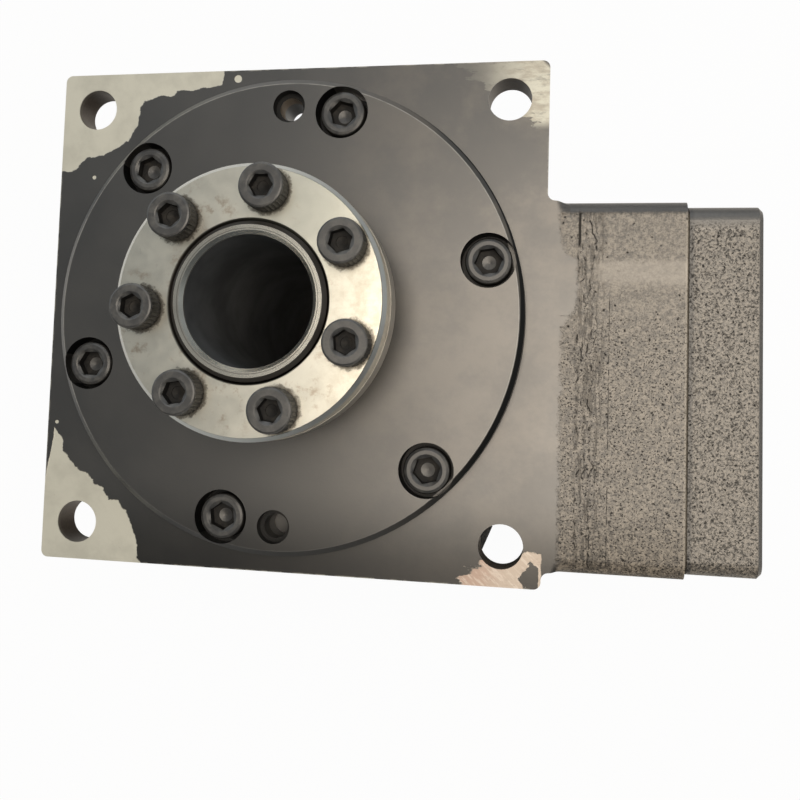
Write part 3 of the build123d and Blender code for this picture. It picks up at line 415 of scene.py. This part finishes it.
def cast_surface(s, wave):
    """Cast surface of the neck and of the case behind the flange: its mask, colour, dark pits and height."""
    behind = s.fall(s.z, PLATE_BACK - 0.3, PLATE_BACK - 0.05)
    beside = s.step(s.x, PLATE_HALF + 0.02, PLATE_HALF + 0.1)
    pad_edge = s.curve(s.y, PAD_EDGE, 50.0, 65.0)
    past_pad = s.step(s.nudge(s.x, wave, 0.7), s.minus(pad_edge, 0.5), s.plus(pad_edge, 0.9))
    neck_front = s.step(s.z, -1.3, -0.9)
    cast = s.either(behind, s.both(beside, s.inverse(neck_front)), past_pad)
    level = s.nudge(s.y, wave, 0.8)
    ground_band = s.both(s.step(level, 6.0, 8.6), s.fall(level, 11.6, 13.4),
                         s.step(s.nudge(s.x, wave, 1.2), 61.5, 65.5), neck_front)
    # Painted shade along the neck's rounded top edge
    shaded_top_edge = s.both(s.step(s.nudge(s.y, wave, 0.15), 21.7, 22.5), beside)

    # Pits, creases and drag marks
    grain = s.noise(1.9, 5.0, 0.72)
    lumps = s.noise(0.55, 4.0, 0.65)
    crater_place = s.vector("ADD", s.place, s.join(s.times(wave, 0.5), s.times(grain, 0.7), 0.0))
    small = s.fall(s.cells(1.7, crater_place), 0.10, 0.30)
    large = s.fall(s.cells(0.62, crater_place), 0.07, 0.2)
    many = s.step(s.plus(s.times(s.y, -0.02), s.noise(0.2, 2.0)), 0.34, 0.66)
    strokes = s.step(s.noise(2.5, 3.0, 0.6, at=crater_place), 0.575, 0.64)
    pits = s.either(s.both(s.either(small, s.times(strokes, 0.8)), many),
                    s.both(large, s.step(s.noise(0.35, 1.0), 0.42, 0.52)), s.times(strokes, 0.25))
    crease_place = s.plus(s.x, s.math("MULTIPLY_ADD", s.noise(0.11, 4.0, 0.6), 6.0, -1.6))
    creases = s.either(*[s.between(crease_place, *crease) for crease in CREASES],
                       s.both(s.between(s.x, 66.5, 66.62, 0.08), s.fall(s.y, 5.0, 8.0)))
    creases = s.both(creases, neck_front, s.step(s.noise(0.45, 3.0, 0.7), 0.42, 0.6))
    gap = s.both(s.between(s.nudge(s.x, wave, 0.06), 60.3, 60.75, 0.1), s.step(s.y, 14.4, 15.6), neck_front)
    drag = s.noise(0.9, 4.0, 0.7, at=s.join(s.times(s.x, 1.6), s.times(s.y, 0.22), s.z))
    ridged = s.both(s.between(s.x, 60.0, 65.5, 1.0), s.step(drag, 0.5, 0.62))
    dark = s.either(pits, creases, gap, s.times(ridged, 0.45))
    dark = s.times(dark, s.blend(s.either(ground_band, shaded_top_edge), 1.0, 0.1))

    # These cast colours are lighter and warmer than black paint: partly dust on it, partly painted sheen
    colour = s.mix(s.step(s.noise(1.3, 5.0, 0.75), 0.36, 0.64), CAST_DARK, CAST_LIGHT)
    colour = s.mix(s.times(ground_band, 0.6), colour, CAST_GROUND)
    colour = s.mix(s.times(dark, 0.9), colour, CAST_PIT)
    colour = s.mix(s.times(shaded_top_edge, 0.95), colour, CAST_TOP_SHADE)
    end_edge = s.both(s.step(s.x, 81.0, 81.2), neck_front, s.fall(s.y, 20.5, 21.0))
    colour = s.mix(s.times(end_edge, 0.7), colour, CAST_END)
    hidden = s.fall(s.z, -9.0, -3.0)
    colour = s.mix(hidden, colour, s.mix(s.step(grain, 0.36, 0.62), HIDDEN_DARK, HIDDEN_LIGHT))
    height = s.plus(s.times(grain, 0.6), s.times(lumps, 0.5))
    height = s.blend(s.times(ground_band, 0.75), height, 0.6)
    height = s.minus(height, s.times(dark, 0.7))
    return cast, colour, dark, height, grain


def bare_metal(s, wave, upper_right, lower_right, scratch_place):
    """Bare metal with a faint mottled stain, which is browner and scratched at the right corners."""
    metal = s.mix(s.step(s.noise(0.12, 4.0, 0.6), 0.4, 0.7), BARE, darker(BARE, 0.86))
    blush = s.step(s.nudge(s.x, wave, 2.0), 41.0, 48.0, 1.0, 0.3)
    metal = s.mix(lower_right, metal, s.mix(blush, BARE_DULL, BARE_BROWN))
    slanted = s.join(s.times(s.plus(s.x, s.y), 2.2), s.times(s.minus(s.x, s.y), 0.3), 0.0)
    scratches = s.both(s.step(s.noise(0.5, 4.0, 0.7, at=slanted), 0.5, 0.6), lower_right)
    metal = s.mix(s.times(scratches, 0.5), metal, BARE_SCRATCH)
    scuffs = s.both(s.step(s.noise(0.7, 5.0, 0.72, at=scratch_place), 0.54, 0.66), lower_right)
    metal = s.mix(s.times(scuffs, 0.3), metal, BARE_SCUFF)
    smear = s.both(upper_right, s.step(s.noise(0.3, 5.0, 0.7, at=scratch_place), 0.42, 0.62))
    metal = s.mix(s.times(smear, 0.6), metal, BARE_SMEAR)
    return s.mix(s.times(s.step(s.noise(0.8, 5.0, 0.7), 0.6, 0.78), 0.25), metal, BARE_SPOT)


def housing_material():
    s = Shader("case_paint_worn")
    colour, rough, peel = paint_finish(s)
    wave = s.math("MULTIPLY_ADD", s.noise(0.55, 4.0, 0.6), 3.2, -1.6)
    front = s.step(s.z, -1.6, -0.9)
    scratch_place = s.join(s.times(s.x, 0.5), s.times(s.y, 1.3), 0.0)
    scraped = s.noise(0.42, 5.0, 0.68, at=scratch_place)
    upper_right = worn_upper_right(s, front, scraped, scratch_place)
    lower_right = worn_lower_right(s, wave, front, scraped)
    chips = [s.both(s.fall(s.nudge(s.away(x, y), wave, 0.12), radius, radius + 0.15), front)
             for x, y, radius in CHIPS]
    bare = s.either(worn_left(s, wave, front), upper_right, lower_right, *chips, rubbed_edges(s))

    cast, cast_colour, dark, cast_height, grain = cast_surface(s, wave)
    colour = s.mix(cast, colour, cast_colour)
    rough = s.blend(cast, rough, s.blend(dark, 0.44, 0.8))
    colour = s.mix(bare, colour, bare_metal(s, wave, upper_right, lower_right, scratch_place))
    rough = s.blend(bare, rough, 0.45)

    # Walls of the bolt holes, where bolts have rubbed the paint away
    quadrant = s.join(s.math("ABSOLUTE", s.x), s.math("ABSOLUTE", s.y), 0.0)
    wall = s.both(s.fall(s.vector("DISTANCE", quadrant, (FLANGE_HOLE, FLANGE_HOLE, 0.0)), 4.56, 4.62),
                  s.fall(s.z, -0.35, -0.2), s.step(s.z, PLATE_BACK - 0.2, PLATE_BACK + 0.1))
    wall = s.times(wall, 0.9)
    colour = s.mix(wall, colour, s.mix(grain, HOLE_DARK, HOLE_LIGHT))
    bare = s.either(bare, wall)

    unpainted = s.either(bare, s.times(dark, cast))
    normal = s.bump(peel, 0.012)
    normal = s.bump(s.blend(cast, 0.5, cast_height), 0.66, normal)
    normal = s.bump(s.inverse(bare), 0.06, normal)
    s.set(Base_Color=colour, Roughness=rough, Metallic=s.times(bare, 0.35), Normal=normal,
          Coat=s.both(s.inverse(unpainted), sheen(s), 0.8), Specular=s.blend(unpainted, sheen(s), 0.4))
    return s.material


def cover_material():
    s = Shader("cover_paint")
    colour, rough, peel = paint_finish(s)
    radius = s.from_axis()
    # Painted highlight along the cover's outer edge, fading towards the bottom as painted shade
    rim = s.both(s.between(radius, COVER_RIM - 0.22, COVER_RIM, 0.06),
                 s.step(s.z, COVER_FACE - 0.4, COVER_FACE - 0.2),
                 s.step(s.noise(0.2, 4.0, 0.7), 0.3, 0.6, 0.45, 1.0), s.step(s.y, -34.0, -18.0, 0.15, 1.0))
    # The upper jack hole is bare below its mouth
    jack_hole = s.both(s.fall(s.away(0.0, COVER_SCREWS[0]), 2.55, 2.62), s.fall(s.z, 2.9, 2.95))
    # The sloped edge on the right and the screws' recesses get painted shade: a darker colour and no sheen
    slope_start = s.math("MULTIPLY_ADD", s.step(s.y, -8.0, 30.0), 0.7, COVER_RIM)
    slope = s.both(s.step(s.minus(radius, slope_start), 0.0, 0.12), s.step(s.x, 20.0, 42.0))
    recesses = s.both(s.fall(radius, COVER_RIM - 0.38, COVER_RIM - 0.28),
                      s.fall(s.z, COVER_FACE - 0.25, COVER_FACE - 0.1))
    shaded = s.either(slope, s.without(recesses, jack_hole))
    colour = s.mix(jack_hole, colour, JACK_HOLE)
    colour = s.mix(shaded, colour, darker(PAINT, 0.6))
    colour = s.mix(s.times(rim, 0.7), colour, RIM_LINE_HIGHLIGHT)
    s.set(Base_Color=colour, Roughness=s.blend(jack_hole, rough, 0.4), Metallic=s.times(jack_hole, 0.5),
          Coat=s.both(s.inverse(s.either(jack_hole, shaded)), sheen(s), 0.8),
          Specular=s.blend(shaded, sheen(s), 0.3), Normal=s.bump(peel, 0.012))
    return s.material


def rear_cover_material():
    s = Shader("rear_cover_paint")
    colour, rough, peel = paint_finish(s)
    s.set(Base_Color=colour, Roughness=rough, Normal=s.bump(peel, 0.012))
    return s.material


def adapter_material():
    """Pitted casting with a machined top side painted dark as shade, an end face painted the same dark, and
    grime along its joint with the neck.
    """
    s = Shader("adapter_cast")
    grain = s.noise(1.6, 5.0, 0.72)
    lumps = s.noise(0.7, 4.0, 0.65)
    crater_place = s.vector("ADD", s.place, s.join(s.times(lumps, 1.6), s.times(grain, 1.2), 0.0))
    strokes = s.step(s.noise(2.6, 4.0, 0.65, at=crater_place), 0.53, 0.62)
    craters = s.both(s.fall(s.cells(1.35, crater_place), 0.14, 0.36), s.step(s.noise(0.9, 3.0), 0.4, 0.5))
    # The machined top band is smoother and painted dark as shade; the end face gets the same dark colour
    machined = s.either(s.step(s.nudge(s.y, grain, 2.4), 19.4, 22.4), s.step(s.x, 95.0, 95.3))
    pits = s.times(s.either(craters, s.times(strokes, 0.7)), s.inverse(machined))
    joint_grime = s.fall(s.nudge(s.x, grain, 0.6), 82.7, 83.5)
    # These cast colours are lighter and warmer than black paint: partly dust on it, partly painted sheen
    colour = s.mix(s.step(grain, 0.34, 0.64), ADAPTER_DARK, ADAPTER_LIGHT)
    colour = s.mix(s.times(pits, 0.9), colour, ADAPTER_PIT)
    colour = s.mix(s.times(machined, 0.9), colour, ADAPTER_MACHINED_SHADE)
    colour = s.mix(s.times(joint_grime, 0.8), colour, ADAPTER_GRIME)
    height = s.plus(s.times(grain, 0.6), s.times(lumps, 0.5))
    height = s.minus(height, s.times(pits, 0.7))
    height = s.times(height, s.inverse(s.times(machined, 0.85)))
    s.set(Base_Color=colour, Roughness=s.blend(machined, s.blend(pits, 0.44, 0.8), 0.4),
          Normal=s.bump(height, 0.42), Specular=s.blend(pits, 1.0, 0.4),
          Coat=s.times(s.inverse(pits), 0.8), Coat_Roughness=0.36, Coat_IOR=1.6)
    return s.material


def turned_steel(name, tone, rough_low, rough_high, axis_x=False, rust=0.0):
    """Turned steel: fine rings about its own axis, a faint stain and light handling marks."""
    s = Shader(name)
    if axis_x:
        a, b, along = s.minus(s.y, INPUT_Y), s.minus(s.z, INPUT_Z), s.x
    else:
        a, b, along = s.x, s.y, s.z
    radius = s.vector("LENGTH", s.join(a, b, 0.0))
    rings = s.noise(5.0, 2.0, 0.5, at=s.join(radius, along, 0.0))
    stain = s.step(s.noise(0.16, 4.0, 0.6), 0.42, 0.72)
    marks = s.step(s.noise(1.2, 4.0, 0.7, at=s.join(a, s.times(b, 0.3), along)), 0.62, 0.72)
    colour = s.mix(stain, tone, darker(tone, 0.88))
    colour = s.mix(s.times(rings, 0.12), colour, darker(tone, 0.7))
    if rust:
        brown = s.both(s.step(s.noise(0.35, 5.0, 0.68), 0.52, 0.68), s.step(s.noise(0.07, 2.0), 0.42, 0.6))
        colour = s.mix(s.times(brown, rust), colour, RUST)
    colour = s.mix(s.times(marks, 0.25), colour, darker(tone, 0.6))
    rough = s.blend(s.noise(0.5, 3.0), rough_low, rough_high)
    s.set(Base_Color=colour, Roughness=rough, Metallic=1.0, Normal=s.bump(rings, 0.004))
    return s


def disc_material():
    """Front of the clamping disc: painted shade about the shaft, oily screw feet, a painted highlight on its
    rim and two stains.
    """
    s = turned_steel("disc_steel", DISC_STEEL, 0.25, 0.36, rust=0.5)
    radius = s.from_axis()
    face = s.step(s.z, DISC_FRONT - 0.9, DISC_FRONT - 0.7)
    # Painted shade in the gap about the shaft
    grime = s.both(s.fall(radius, 15.3, 15.75), s.step(s.z, DISC_FRONT - 1.1, DISC_FRONT - 0.8))
    nearest = None
    for x, y in circle_places(*DISC_SCREWS):
        away = s.away(x, y)
        nearest = away if nearest is None else s.math("MINIMUM", nearest, away)
    ragged = s.plus(nearest, s.math("MULTIPLY_ADD", s.noise(0.9, 4.0, 0.7), 2.4, -1.2))
    oily = s.both(s.fall(ragged, 4.3, 5.0), s.step(s.z, DISC_FRONT - 0.2, DISC_FRONT - 0.05))
    film = s.both(s.step(s.x, 8.0, 24.0), s.step(s.noise(0.4, 5.0, 0.7), 0.35, 0.7, 0.2, 1.0))
    grey = s.both(s.step(s.x, -8.0, 10.0), s.step(s.y, 2.0, 14.0), face)
    # Painted highlight on the rim's outer edge
    rim = s.both(s.step(radius, DISC_RADIUS - 0.75, DISC_RADIUS - 0.65), face)
    colour = s.mix(grime, s.base_colour(), DISC_GAP_SHADE)
    colour = s.mix(s.times(film, 0.6), colour, DISC_FILM)
    colour = s.mix(s.times(grey, 0.6), colour, DISC_GREY)
    colour = s.mix(s.times(rim, 0.8), colour, DISC_RIM_HIGHLIGHT)
    s.set(Base_Color=s.mix(s.times(oily, 0.75), colour, DISC_OIL))
    return s.material


def ring_material():
    """Side of the clamping disc, with a light ragged band below its front edge."""
    s = turned_steel("disc_ring_steel", RING_STEEL, 0.3, 0.42, rust=0.5)
    seam = s.both(s.step(s.nudge(s.z, s.noise(0.8, 4.0, 0.7), 1.6), 24.3, 25.0),
                  s.step(s.from_axis(), DISC_RADIUS - 0.3, DISC_RADIUS - 0.05))
    s.set(Base_Color=s.mix(s.times(seam, 0.8), s.base_colour(), RING_SEAM))
    return s.material


def shaft_material():
    """Hollow shaft with an oily bore, a fine dark line on its front and painted shade on its outer edge."""
    s = turned_steel("shaft_steel", SHAFT_STEEL, 0.2, 0.32, rust=0.15)
    radius = s.from_axis()
    bore = s.both(s.fall(radius, SHAFT_BORE + 0.1, SHAFT_BORE + 0.4),
                  s.fall(s.z, DISC_FRONT - 0.8, DISC_FRONT - 0.1))
    # Painted shade on the shaft's outer edge, in the gap to the disc
    edge = s.both(s.step(radius, 14.15, 14.3), s.step(s.z, DISC_FRONT - 1.1, DISC_FRONT - 0.8))
    line = s.both(s.between(radius, 13.42, 13.58, 0.04), s.step(s.z, DISC_FRONT - 0.1, DISC_FRONT))
    oil = s.step(s.noise(0.08, 3.0, 0.6), 0.3, 0.7)
    colour = s.mix(bore, s.base_colour(), s.mix(oil, BORE_DARK, BORE_LIGHT))
    colour = s.mix(s.times(line, 0.6), colour, SHAFT_LINE)
    dull = s.either(bore, edge)
    s.set(Base_Color=s.mix(edge, colour, SHAFT_EDGE_SHADE), Metallic=s.inverse(dull),
          Roughness=s.blend(dull, 0.26, 0.6))
    return s.material


def screw_material(name, grime_and_shade_from_to=None):
    """Blackened steel, worn to grey on its edges, with grime and painted shade between two heights where they
    are given.
    """
    s = Shader(name)
    grain = s.noise(2.2, 4.0, 0.65)
    cloud = s.step(s.noise(0.45, 4.0, 0.65), 0.4, 0.7)
    colour = s.mix(cloud, OXIDE_DARK, OXIDE_LIGHT)
    rust = s.both(s.step(s.noise(0.8, 4.0, 0.7), 0.62, 0.72), s.step(s.noise(0.11, 1.0), 0.5, 0.6))
    colour = s.mix(s.times(rust, 0.3), colour, OXIDE_RUST)
    # The rounded normal leaves the true one near an edge
    edge = s.tree.nodes.new("ShaderNodeBevel")
    edge.samples = 4
    edge.inputs["Radius"].default_value = 0.16 * MM
    true_normal = s.tree.nodes.new("ShaderNodeNewGeometry").outputs["Normal"]
    agreement = s.vector("DOT_PRODUCT", edge.outputs[0], true_normal)
    wear = s.both(s.fall(agreement, 0.93, 0.985), s.step(s.noise(0.9, 3.0, 0.7), 0.3, 0.6))
    colour = s.mix(s.times(wear, 0.45), colour, OXIDE_WORN)
    rough = s.blend(cloud, 0.36, 0.48)
    s.set(Specular=0.9)
    if grime_and_shade_from_to:
        # Grime and painted shade on the sides between the two heights
        grimy = s.between(s.z, *grime_and_shade_from_to, 0.08)
        colour = s.mix(s.times(grimy, 0.85), colour, s.mix(cloud, GRIME_SHADE_DARK, GRIME_SHADE_LIGHT))
        rough = s.blend(grimy, rough, 0.62)
        s.set(Specular=s.blend(grimy, 0.9, 0.3))
    s.set(Base_Color=colour, Roughness=rough, Metallic=0.15, Normal=s.bump(grain, 0.012))
    return s.material


def plain_material(name, first, second, rough, metallic=0.0, scale=0.6, height=0.02):
    """Clouds of two colours with a fine grain."""
    s = Shader(name)
    cloud = s.noise(scale, 4.0, 0.6)
    s.set(Base_Color=s.mix(s.step(cloud, 0.35, 0.65), first, second), Roughness=rough, Metallic=metallic,
          Normal=s.bump(s.noise(scale * 3, 3.0), height))
    return s.material


housing_paint = housing_material()
black_oxide = screw_material("black_oxide")
disc_screw_oxide = screw_material("disc_screw_oxide", (-1.0, DISC_FRONT + 4.37))
cover_screw_oxide = screw_material("cover_screw_oxide", (COVER_SEAT + 1.22, COVER_SEAT + 3.47))
seal_rubber = plain_material("seal_rubber", (0.018, 0.016, 0.015), (0.03, 0.027, 0.025), 0.6)
bearing_steel = plain_material("bearing_steel", (0.58, 0.58, 0.58), (0.66, 0.66, 0.66), 0.22, 1.0,
                               scale=0.3, height=0.002)
gear_steel = turned_steel("gear_steel", (0.42, 0.42, 0.41), 0.26, 0.38).material
input_steel = turned_steel("input_steel", (0.52, 0.51, 0.48), 0.24, 0.36, axis_x=True).material
clamp_steel = turned_steel("clamp_steel", (0.5, 0.49, 0.46), 0.28, 0.4, axis_x=True).material
spring_steel = plain_material("spring_steel", (0.09, 0.09, 0.095), (0.13, 0.13, 0.13), 0.35, 1.0)
gasket_fibre = plain_material("gasket_fibre", (0.12, 0.105, 0.085), (0.2, 0.18, 0.15), 0.8,
                              scale=1.2, height=0.05)
plug_plastic = plain_material("plug_plastic", (0.02, 0.02, 0.02), (0.03, 0.03, 0.03), 0.5)
washer_metal = plain_material("washer_metal", (0.6, 0.6, 0.6), (0.7, 0.7, 0.69), 0.35, 1.0)

bearing_nodes = [f"{bearing}_bearing_{piece}" for bearing in ("front", "rear", "input_inner", "input_outer")
                 for piece in ("outer_ring", "inner_ring", "cage", "balls")]
for material, names in (
    (housing_paint, ("housing",)),
    (cover_material(), ("front_cover",)),
    (rear_cover_material(), ("rear_cover",)),
    (adapter_material(), ("motor_adapter",)),
    (disc_material(), ("clamping_disc_hub",)),
    (ring_material(), ("clamping_disc_ring",)),
    (shaft_material(), ("hollow_shaft",)),
    (input_steel, ("input_shaft",)),
    (clamp_steel, ("clamp_ring",)),
    (gear_steel, ("ring_gear",)),
    (bearing_steel, bearing_nodes),
    (spring_steel, ("housing_retaining_ring", "shaft_retaining_ring")),
    (gasket_fibre, ("adapter_gasket",)),
    (plug_plastic, ("access_plug",)),
    (washer_metal, ("oil_plug_washer",)),
    (seal_rubber, ("front_oil_seal", "rear_oil_seal", "input_oil_seal", "front_cover_o_ring")),
    (black_oxide, ("front_cover_screws", "rear_cover_screws", "clamping_disc_screws", "ring_gear_screws",
                   "motor_adapter_screws", "clamp_screw", "oil_plug")),
):
    for name in names:
        mesh = nodes[name].data
        mesh.materials.clear()
        mesh.materials.append(material)


def new_piece(name, mesh_builder, material, body):
    """Make a piece from mesh code and let it move with its body."""
    mesh = bpy.data.meshes.new(name)
    work = bmesh.new()
    mesh_builder(work)
    bmesh.ops.recalc_face_normals(work, faces=work.faces)
    work.to_mesh(mesh)
    work.free()
    piece = bpy.data.objects.new(name, mesh)
    scene.collection.objects.link(piece)
    mesh.materials.append(material)
    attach(piece, body)
    return piece


def bridge(work, first, second):
    """Close the band between two loops of as many points."""
    for i in range(len(first)):
        j = (i + 1) % len(first)
        work.faces.new((first[i], first[j], second[j], second[i]))


def add_screw(work, place, turn, head_radius, head_height, edge, socket, socket_depth, shank_radius, length,
              knurls):
    """Socket head screw: rounded top edge, chamfered hexagon socket with a drilled centre, knurls if any."""
    knurl_depth = 0.16 if knurls else 0.0
    apothem = socket / 2
    socket_mouth = apothem / math.cos(math.pi / 6) + 0.12
    top = head_height

    def loop(radius_at, z):
        points = []
        for i in range(SCREW_SEGMENTS):
            angle = 2 * math.pi * i / SCREW_SEGMENTS
            radius = radius_at(angle)
            point = Vector((radius * math.cos(angle), radius * math.sin(angle), z))
            points.append(work.verts.new((place + point) * MM))
        return points

    def circle(radius, z):
        return loop(lambda angle: radius, z)

    def knurled(radius, z):
        return loop(lambda angle: radius - knurl_depth * (0.5 - 0.5 * math.cos(knurls * angle)) ** 0.6, z)

    def hexagon(size, z):
        return loop(lambda angle: size / math.cos((angle - turn) % (math.pi / 3) - math.pi / 6), z)

    loops = [
        circle(shank_radius, -length),
        circle(shank_radius, 0.0),
        circle(head_radius - 0.35, 0.0),
        knurled(head_radius, 0.35),
        knurled(head_radius, top - edge - 0.12),
        circle(head_radius - 0.03, top - edge),
        circle(head_radius - edge * 0.35, top - edge * 0.3),
        circle(head_radius - edge, top),
        circle(socket_mouth + 0.25, top),
        circle(socket_mouth, top - 0.14),
        hexagon(apothem, top - 0.42),
        hexagon(apothem, top - socket_depth + 0.15),
        hexagon(apothem * 0.97, top - socket_depth),
        circle(apothem * 0.6, top - socket_depth - 0.02),
        circle(apothem * 0.56, top - socket_depth - 0.2),
        circle(apothem * 0.1, top - socket_depth - 0.4),
    ]
    for low, high in zip(loops, loops[1:]):
        bridge(work, low, high)
    work.faces.new(list(reversed(loops[0])))
    work.faces.new(loops[-1])


def disc_screws(work):
    for i, (x, y) in enumerate(circle_places(*DISC_SCREWS)):
        add_screw(work, Vector((x, y, DISC_FRONT)), math.radians(17 + 43 * i), **DISC_SCREW)


def cover_screws(work):
    for i, (x, y) in enumerate(circle_places(*COVER_SCREWS)):
        add_screw(work, Vector((x, y, COVER_SEAT)), math.radians(8 + 37 * i), **COVER_SCREW)


def junction_blends(work):
    """Cast blends, one above and one below, from the flange's round corner down to the neck's round edge."""
    sunk, inset, count = 0.04, 2.2, 8
    start_x, square_x, end_x, sections = 53.8, 55.5, 59.0, 9
    low_z = NECK_FRONT - NECK_EDGE
    # Each section's outline goes from the square corner of the first to the round edge of the last
    square = [(inset * (1 - i / count) + 0.01, -0.01) for i in range(count)]
    square += [(0.01, -0.01 + (low_z + 0.01) * i / count) for i in range(count + 1)]
    round_edge = []
    for i in range(len(square)):
        angle = math.pi / 2 * i / (len(square) - 1)
        reach = NECK_EDGE - sunk
        round_edge.append((NECK_EDGE - reach * math.sin(angle), low_z + reach * math.cos(angle)))
    for side, level in ((-1, INPUT_Y + NECK_SIDE / 2), (1, INPUT_Y - NECK_SIDE / 2)):
        loops = []
        for k in range(-1, sections):
            along = max(k, 0) / (sections - 1)
            x = start_x if k < 0 else square_x + (end_x - square_x) * along
            share = along * along * (3 - 2 * along)
            profile = [((1 - share) * a[0] + share * b[0], (1 - share) * a[1] + share * b[1])
                       for a, b in zip(square, round_edge)]
            profile.append((NECK_EDGE, low_z))
            loops.append([work.verts.new(Vector((x, level + side * depth, z)) * MM) for depth, z in profile])
        for first, second in zip(loops, loops[1:]):
            bridge(work, first, second)
        work.faces.new(loops[0])
        work.faces.new(list(reversed(loops[-1])))


new_disc_screws = new_piece("disc_screws", disc_screws, disc_screw_oxide, "output_shaft")
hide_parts("clamping_disc_screws")
new_cover_screws = new_piece("cover_screws", cover_screws, cover_screw_oxide, "gear_case")
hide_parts("front_cover_screws")
new_piece("junction_blends", junction_blends, housing_paint, "gear_case")

# Soft edges on the machined pieces, kept inside their own shape
for name, width in (("housing", 0.22), ("motor_adapter", 0.3), ("rear_cover", 0.25),
                    ("clamping_disc_ring", 0.15), ("oil_plug", 0.15), ("clamp_ring", 0.15)):
    bevel = nodes[name].modifiers.new("edges", "BEVEL")
    bevel.width = width * MM
    bevel.segments = 2
    bevel.limit_method = "ANGLE"
    bevel.angle_limit = math.radians(50)
    bevel.harden_normals = True


def make_floor():
    """A matt floor under the case, which the camera sees nearly as white as the backdrop."""
    half, level = 4.0, FLOOR * MM
    corners = [(-half, -half, level), (half, -half, level), (half, half, level), (-half, half, level)]
    mesh = bpy.data.meshes.new("floor")
    mesh.from_pydata(corners, [], [(0, 1, 2, 3)])
    floor = bpy.data.objects.new("floor", mesh)
    scene.collection.objects.link(floor)
    material = bpy.data.materials.new("floor")
    material.use_nodes = True
    tree = material.node_tree
    tree.nodes.clear()
    out = tree.nodes.new("ShaderNodeOutputMaterial")
    diffuse = tree.nodes.new("ShaderNodeBsdfDiffuse")
    diffuse.inputs["Color"].default_value = FLOOR_COLOUR + (1.0,)
    glow = tree.nodes.new("ShaderNodeEmission")
    glow.inputs["Color"].default_value = WHITE + (1.0,)
    glow.inputs["Strength"].default_value = 1.0
    rays = tree.nodes.new("ShaderNodeLightPath")
    share = tree.nodes.new("ShaderNodeMath")
    share.operation = "MULTIPLY"
    share.inputs[1].default_value = 0.96
    tree.links.new(rays.outputs["Is Camera Ray"], share.inputs[0])
    mixer = tree.nodes.new("ShaderNodeMixShader")
    tree.links.new(share.outputs[0], mixer.inputs[0])
    tree.links.new(diffuse.outputs[0], mixer.inputs[1])
    tree.links.new(glow.outputs[0], mixer.inputs[2])
    tree.links.new(mixer.outputs[0], out.inputs["Surface"])
    mesh.materials.append(material)


def make_world():
    """A pale sky, dimmer low down, to the left and to the near side, with a bright horizon on the left.

    The camera sees plain white in its place.
    """
    world = bpy.data.worlds.new("world")
    scene.world = world
    world.use_nodes = True
    tree = world.node_tree
    tree.nodes.clear()
    out = tree.nodes.new("ShaderNodeOutputWorld")
    sky = tree.nodes.new("ShaderNodeBackground")
    direction = tree.nodes.new("ShaderNodeTexCoord")
    split = tree.nodes.new("ShaderNodeSeparateXYZ")
    tree.links.new(direction.outputs["Generated"], split.inputs[0])
    x, y, z = split.outputs

    def ramp(value, low, high, start, end):
        node = tree.nodes.new("ShaderNodeMapRange")
        node.interpolation_type = "SMOOTHSTEP"
        tree.links.new(value, node.inputs["Value"])
        for name, level in (("From Min", low), ("From Max", high), ("To Min", start), ("To Max", end)):
            node.inputs[name].default_value = level
        return node.outputs["Result"]

    def combine(operation, first, second):
        node = tree.nodes.new("ShaderNodeMath")
        node.operation = operation
        tree.links.new(first, node.inputs[0])
        tree.links.new(second, node.inputs[1])
        return node.outputs[0]

    horizon = combine("MULTIPLY", ramp(z, 0.1, 0.5, 1.0, 0.0), ramp(x, -0.7, 0.3, 0.9, 0.0))
    overhead = combine("MULTIPLY", ramp(x, -0.5, 0.12, 0.17, 0.48), ramp(z, 0.05, 0.5, 0.4, 1.0))
    downward = ramp(y, -0.45, 0.12, 0.3, 1.0)
    strength = combine("MULTIPLY", combine("ADD", horizon, overhead), downward)
    tree.links.new(strength, sky.inputs["Strength"])
    sky.inputs["Color"].default_value = SKY_COLOUR + (1.0,)
    backdrop = tree.nodes.new("ShaderNodeBackground")
    backdrop.inputs["Color"].default_value = WHITE + (1.0,)
    backdrop.inputs["Strength"].default_value = 1.0
    rays = tree.nodes.new("ShaderNodeLightPath")
    chooser = tree.nodes.new("ShaderNodeMixShader")
    tree.links.new(rays.outputs["Is Camera Ray"], chooser.inputs[0])
    tree.links.new(sky.outputs[0], chooser.inputs[1])
    tree.links.new(backdrop.outputs[0], chooser.inputs[2])
    tree.links.new(chooser.outputs[0], out.inputs["Surface"])


def make_lamp(name, place, target, width, height, power, colour):
    data = bpy.data.lights.new(name, "AREA")
    data.shape = "RECTANGLE"
    data.size = width
    data.size_y = height
    data.energy = power
    data.color = colour
    light = bpy.data.objects.new(name, data)
    scene.collection.objects.link(light)
    aim = (Vector(target) - Vector(place)).to_track_quat("-Z", "Y").to_matrix().to_4x4()
    light.matrix_world = Matrix.Translation(Vector(place)) @ aim


make_floor()
make_world()
make_lamp("panel", (0.19, -0.01, 0.62), (0.19, -0.01, 0.0), 0.5, 0.38, 2.75, (1.0, 0.875, 0.725))
make_lamp("fill", (-1.1, 0.6, 0.6), (0.0, 0.0, -0.02), 0.8, 0.8, 0.95, (0.90, 0.96, 1.0))
make_lamp("back", (-0.2, 1.1, 0.8), (0.0, 0.0, -0.02), 0.8, 0.8, 2.5, WHITE)

scene.view_settings.view_transform = "Standard"
